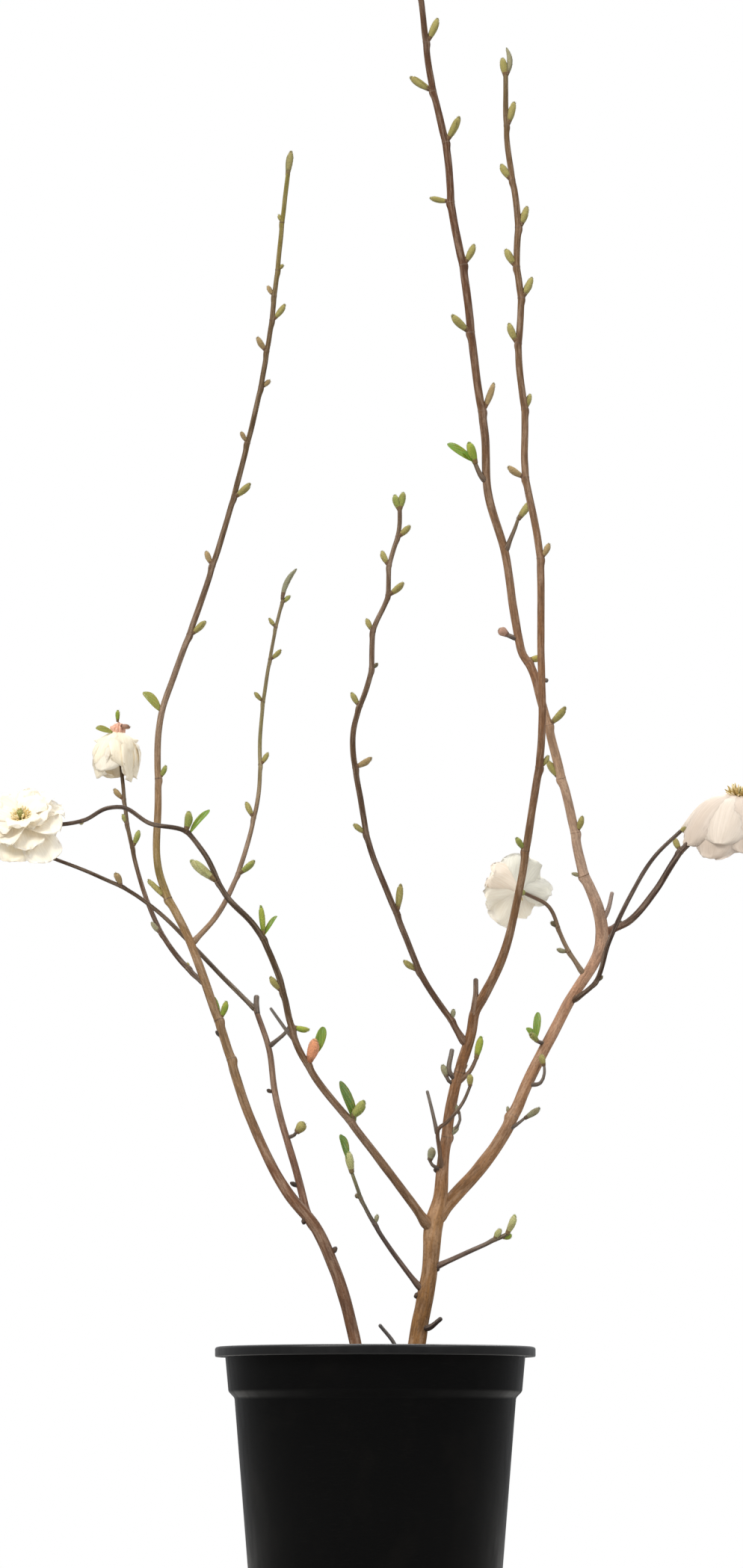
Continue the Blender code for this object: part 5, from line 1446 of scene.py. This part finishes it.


# Blossoms
# Each has broad soft petals round a small cone of green pistils, ringed by yellow stamens. The
# petals are thin and white with cream creases, and let a little light through. Some petals are
# tinted grey, beige or fawn as painted shade.

PETAL_OUTLINE = ((0.0, 0.28), (0.08, 0.44), (0.18, 0.62), (0.3, 0.80), (0.42, 0.92), (0.55, 0.99),
                 (0.67, 1.0), (0.78, 0.97), (0.87, 0.87), (0.94, 0.71), (0.98, 0.50), (1.0, 0.28))
# The last three tones are white petals darkened to grey, beige and fawn: painted shade, for the blossoms that
# get less light.
PETAL_TONES = {"cream": ((246, 234, 208), (230, 212, 178)), "white": ((244, 235, 215), (226, 210, 186)),
               "blush": ((242, 226, 206), (222, 198, 172)), "painted_shade_grey": ((226, 222, 206), (198, 194, 180)),
               "painted_shade_beige": ((219, 205, 189), (198, 182, 164)), "painted_shade_fawn": ((210, 194, 178), (190, 172, 154))}
PETAL_THICKNESS = 0.00055
PETAL_STEPS = 14
petal_tones = list(PETAL_TONES)

# A faint glow, which stands for the light that comes through a petal from behind.
LIGHT_THROUGH = 0.07


def petal_veins():
    """A shader group for a petal: long faint creases in a second tone."""
    group, given, result = shader_group("petal_veins", (("Tone", "Color"), ("Crease", "Color")),
                                        (("Colour", "Color"), ("Relief", "Float")))
    place = group.nodes.new("ShaderNodeTexCoord").outputs["UV"]
    vein = speckle(group, scaled(group, place, (26.0, 2.2, 1.0)), 1.4, 0.38, 0.72, 3.0)
    creased = tinted(group, ranged(group, vein, 0.0, 0.6), given.outputs["Tone"], given.outputs["Crease"])
    group.links.new(creased, result.inputs["Colour"])
    group.links.new(vein, result.inputs["Relief"])
    return group


PETAL_VEINS = petal_veins()
petal_finishes = []
for petal_tone, (face_tone, crease_tone) in PETAL_TONES.items():
    finish = grouped(f"petal_{petal_tone}", PETAL_VEINS,
                     [("Tone", paint(*face_tone)), ("Crease", paint(*crease_tone))], 0.55, 0.3, 0.0004)
    shader = finish.node_tree.nodes["Principled BSDF"]
    shader.inputs["Subsurface Weight"].default_value = 0.35
    shader.inputs["Subsurface Scale"].default_value = 0.002
    shader.inputs["Subsurface Radius"].default_value = (1.0, 1.0, 1.0)
    shader.inputs["Emission Color"].default_value = paint(*face_tone)
    shader.inputs["Emission Strength"].default_value = LIGHT_THROUGH
    petal_finishes.append(finish)


def petal(skin, root, facing, out, length, width, opening, droop, cup, ruffle, tone, dice):
    """One petal, which opens by an angle and bends back along its length, with a wavy rim."""
    side = facing.cross(out).normalized()
    phase = dice.uniform(0, 6.3)
    twist = dice.uniform(-0.25, 0.25)
    shares = [share for share, _ in PETAL_OUTLINE]
    line = [root]
    rises = []
    sides = []
    for before, after in zip(shares, shares[1:] + [1.02]):
        middle = (before + after) / 2
        angle = opening + droop * math.sqrt(middle)
        heading = facing * math.cos(angle) + out * math.sin(angle)
        heading = (heading + side * twist * middle).normalized()
        rise = (facing * math.sin(angle) - out * math.cos(angle)).normalized()
        rise = (rise - heading * rise.dot(heading)).normalized()
        rises.append(rise)
        sides.append(heading.cross(rise).normalized())
        if after <= 1.0:
            line.append(line[-1] + heading * length * (after - before))
    halves = [width / 2 * wide * (1 + 0.07 * math.sin(5 * share + phase)) for share, wide in PETAL_OUTLINE]

    def rim(share, t):
        ripple = math.sin(phase + 3.1 * t + 8 * share) + 0.6 * math.sin(2 * phase + 7.3 * t - 13 * share)
        return ruffle * ripple * (0.25 + t * t) * share

    first = petal_tones.index(tone)
    sheet(skin, line, rises, sides, halves, lambda share, t: cup * t * t, rim, PETAL_THICKNESS, first, first,
          PETAL_STEPS)


def blossom(skin, centre, facing, petals, length, width, spread, droop, seed, tones, inner, shorter, rise,
            cup, trims=None, ruffle=0.0016, start=0.0, uneven=0.4):
    """A whorl of outer petals and a shorter inner one, whose opening differs by rise. Start turns both,
    cup bends each petal's sides, uneven varies the cup, and trims shortens petals by direction."""
    dice = random.Random(seed)
    facing = Vector(facing).normalized()
    aside = facing.orthogonal().normalized()
    for whorl, count, share, lift in ((0, petals, 1.0, 0.0), (1, inner, shorter, rise)):
        for number in range(count):
            turn = 2 * math.pi * (number + start + 0.5 * whorl + dice.uniform(-0.10, 0.10)) / count
            out = (Matrix.Rotation(turn, 3, facing) @ aside).normalized()
            opening = spread + lift + (0.10 if number % 2 else -0.06) + dice.uniform(-0.05, 0.05)
            reach = length * share * dice.uniform(0.90, 1.02)
            if trims:
                reach *= trims(out)
            petal(skin, centre + out * 0.0015, facing, out, reach, width * dice.uniform(0.88, 1.06), opening,
                  droop * (0.85 if whorl else 1.0), cup * dice.uniform(1 - uneven, 1 + uneven),
                  ruffle * dice.uniform(0.7, 1.4), dice.choice(tones), dice)


CENTRE_TONES = {"stamen": (212, 186, 122), "anther": (176, 150, 82), "pistil": (150, 150, 84),
                "flush": (226, 176, 150), "pale": (238, 224, 184)}
centre_tones = list(CENTRE_TONES)
GOLDEN_TURN = 2.399963
PISTILS = 26


def rod(skin, start, end, thick, thin, tone, sides=7):
    """A thin rod with a thicker tapering end, used for stamens and pistils."""
    along = (end - start).normalized()
    up = along.orthogonal().normalized()
    across = up.cross(along)
    rows = []
    rings = ((0.0, thin), (0.35, thin), (0.7, thick), (0.93, thick * 0.9), (1.0, thick * 0.35))
    for share, radius in rings:
        middle = start.lerp(end, share)
        turns = [2 * math.pi * step / sides for step in range(sides)]
        rows.append([middle + (across * math.cos(t) + up * math.sin(t)) * radius for t in turns])
    skin.wrap(rows, [step / sides for step in range(sides + 1)], [share for share, _ in rings],
              centre_tones.index(tone))


def flower_centre(skin, centre, facing, count, reach, seed, tones):
    """A cone of pistils in a ring of stamens."""
    dice = random.Random(seed)
    facing = Vector(facing).normalized()
    aside = facing.orthogonal().normalized()
    for stamen in range(count):
        turn = stamen * GOLDEN_TURN
        open_by = math.radians(dice.uniform(14, 74))
        out = Matrix.Rotation(turn, 3, facing) @ aside
        heading = facing * math.cos(open_by) + out * math.sin(open_by)
        root = centre + out * 0.0022 + facing * 0.001
        rod(skin, root, root + heading * reach * dice.uniform(0.75, 1.1), 0.00065, 0.0003, dice.choice(tones))
    for pistil in range(PISTILS):
        level = pistil / PISTILS
        turn = pistil * GOLDEN_TURN
        out = Matrix.Rotation(turn, 3, facing) @ aside
        root = centre + out * 0.002 * (1 - level * 0.7) + facing * (0.001 + 0.008 * level)
        tip = root + (out * 0.7 + facing * 0.8).normalized() * 0.0028
        rod(skin, root, tip, 0.0005, 0.0006, "pistil", 5)
    rod(skin, centre - facing * 0.004, centre + facing * 0.0095, 0.0024, 0.0028, "pistil", 12)


petal_skin = Skin()
centre_parts = Skin()
left_tip = left_flower.at(left_flower.length)
middle_tip = middle.at(middle.length)
grey_tip = grey.at(grey.length)
dark_tip = dark.at(dark.length)
LEFT_FACING = (0.05, -0.1, 1.0)
MIDDLE_FACING = (-0.10, -0.75, 0.70)
GREY_FACING = (-0.45, 0.75, 0.35)
DARK_FACING = (0.15, -0.20, 1.0)


def front_short(out):
    """Shorter petals towards the front, where the twig shows."""
    return 1.0 - 0.60 * max(-out.y, 0.0) ** 4


blossom(petal_skin, left_tip + Vector((0, 0, 0.0035)), LEFT_FACING, 8, 0.053, 0.044, 1.35, 2.05, 41,
        ("cream", "white", "white"), inner=9, shorter=0.97, rise=0.20, cup=-0.46, trims=front_short,
        uneven=0.08)
blossom(petal_skin, middle_tip, MIDDLE_FACING, 8, 0.037, 0.033, 1.10, 0.80, 42, ("white", "cream", "white"),
        inner=6, shorter=0.76, rise=-0.38, cup=0.22, ruffle=0.0030, start=0.3)

# Two long petals hang from the blossom on the middle bough: (direction, length, opening, tone, seed).
HANGING_PETALS = (((0.62, -0.40, -0.78), 0.049, 1.30, "white", 50),
                  ((-0.20, -0.40, -0.95), 0.042, 1.25, "cream", 51))
HANGING_WIDTH = 0.034
HANGING_DROOP = 0.55
HANGING_CUP = 0.10
HANGING_RUFFLE = 0.0030
for way, length, opening, tone, seed in HANGING_PETALS:
    petal(petal_skin, middle_tip, Vector(MIDDLE_FACING).normalized(), Vector(way).normalized(), length,
          HANGING_WIDTH, opening, HANGING_DROOP, HANGING_CUP, HANGING_RUFFLE, tone, random.Random(seed))

# Some of this blossom's petals get the grey tone, which is painted shade.
blossom(petal_skin, grey_tip, GREY_FACING, 7, 0.034, 0.034, 1.02, 0.50, 43,
        ("white", "blush", "white", "painted_shade_grey"), inner=6, shorter=0.88, rise=-0.30, cup=0.45, ruffle=0.0034)
# The blossom at the far right has only beige and fawn tones: its white petals darkened as painted shade.
blossom(petal_skin, dark_tip, DARK_FACING, 9, 0.080, 0.054, 0.86, 2.35, 44, ("painted_shade_beige", "painted_shade_beige", "painted_shade_fawn"),
        inner=8, shorter=0.90, rise=0.16, cup=-0.44, ruffle=0.0022, uneven=0.12)
petals = petal_skin.piece("petals", petal_finishes)
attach(petals, "root")

flower_centre(centre_parts, middle_tip, MIDDLE_FACING, 70, 0.0095, 45, ("pale", "pale", "stamen"))
flower_centre(centre_parts, grey_tip, GREY_FACING, 30, 0.009, 46, ("stamen", "stamen", "anther"))
flower_centre(centre_parts, dark_tip - Vector((0, 0, 0.002)), DARK_FACING, 120, 0.0125, 47,
              ("stamen", "anther", "pale"))

# A pink cone shows inside the left blossom, made of rings of rods: (radius, count, height).
CONE_RINGS = ((0.0046, 11, 0.0072), (0.0026, 8, 0.0098), (0.0006, 3, 0.0112))
CONE_FOOT = Vector((0, 0, 0.001))
for ring, count, reach in CONE_RINGS:
    for scale in range(count):
        turn = 2 * math.pi * (scale + 8 * ring) / count
        out = Vector((math.cos(turn), math.sin(turn), 0.0))
        foot = left_tip + out * ring + CONE_FOOT
        tip = foot + out * ring * 0.35 + Vector((0, 0, reach - 0.0012 * (scale % 3)))
        rod(centre_parts, foot, tip, 0.0015, 0.0019, "flush", 9)
centre_finishes = [plain_material(f"flower_{name}", paint(*tone), 0.6) for name, tone in CENTRE_TONES.items()]
flower_centres = centre_parts.piece("flower_centres", centre_finishes)
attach(flower_centres, "root")
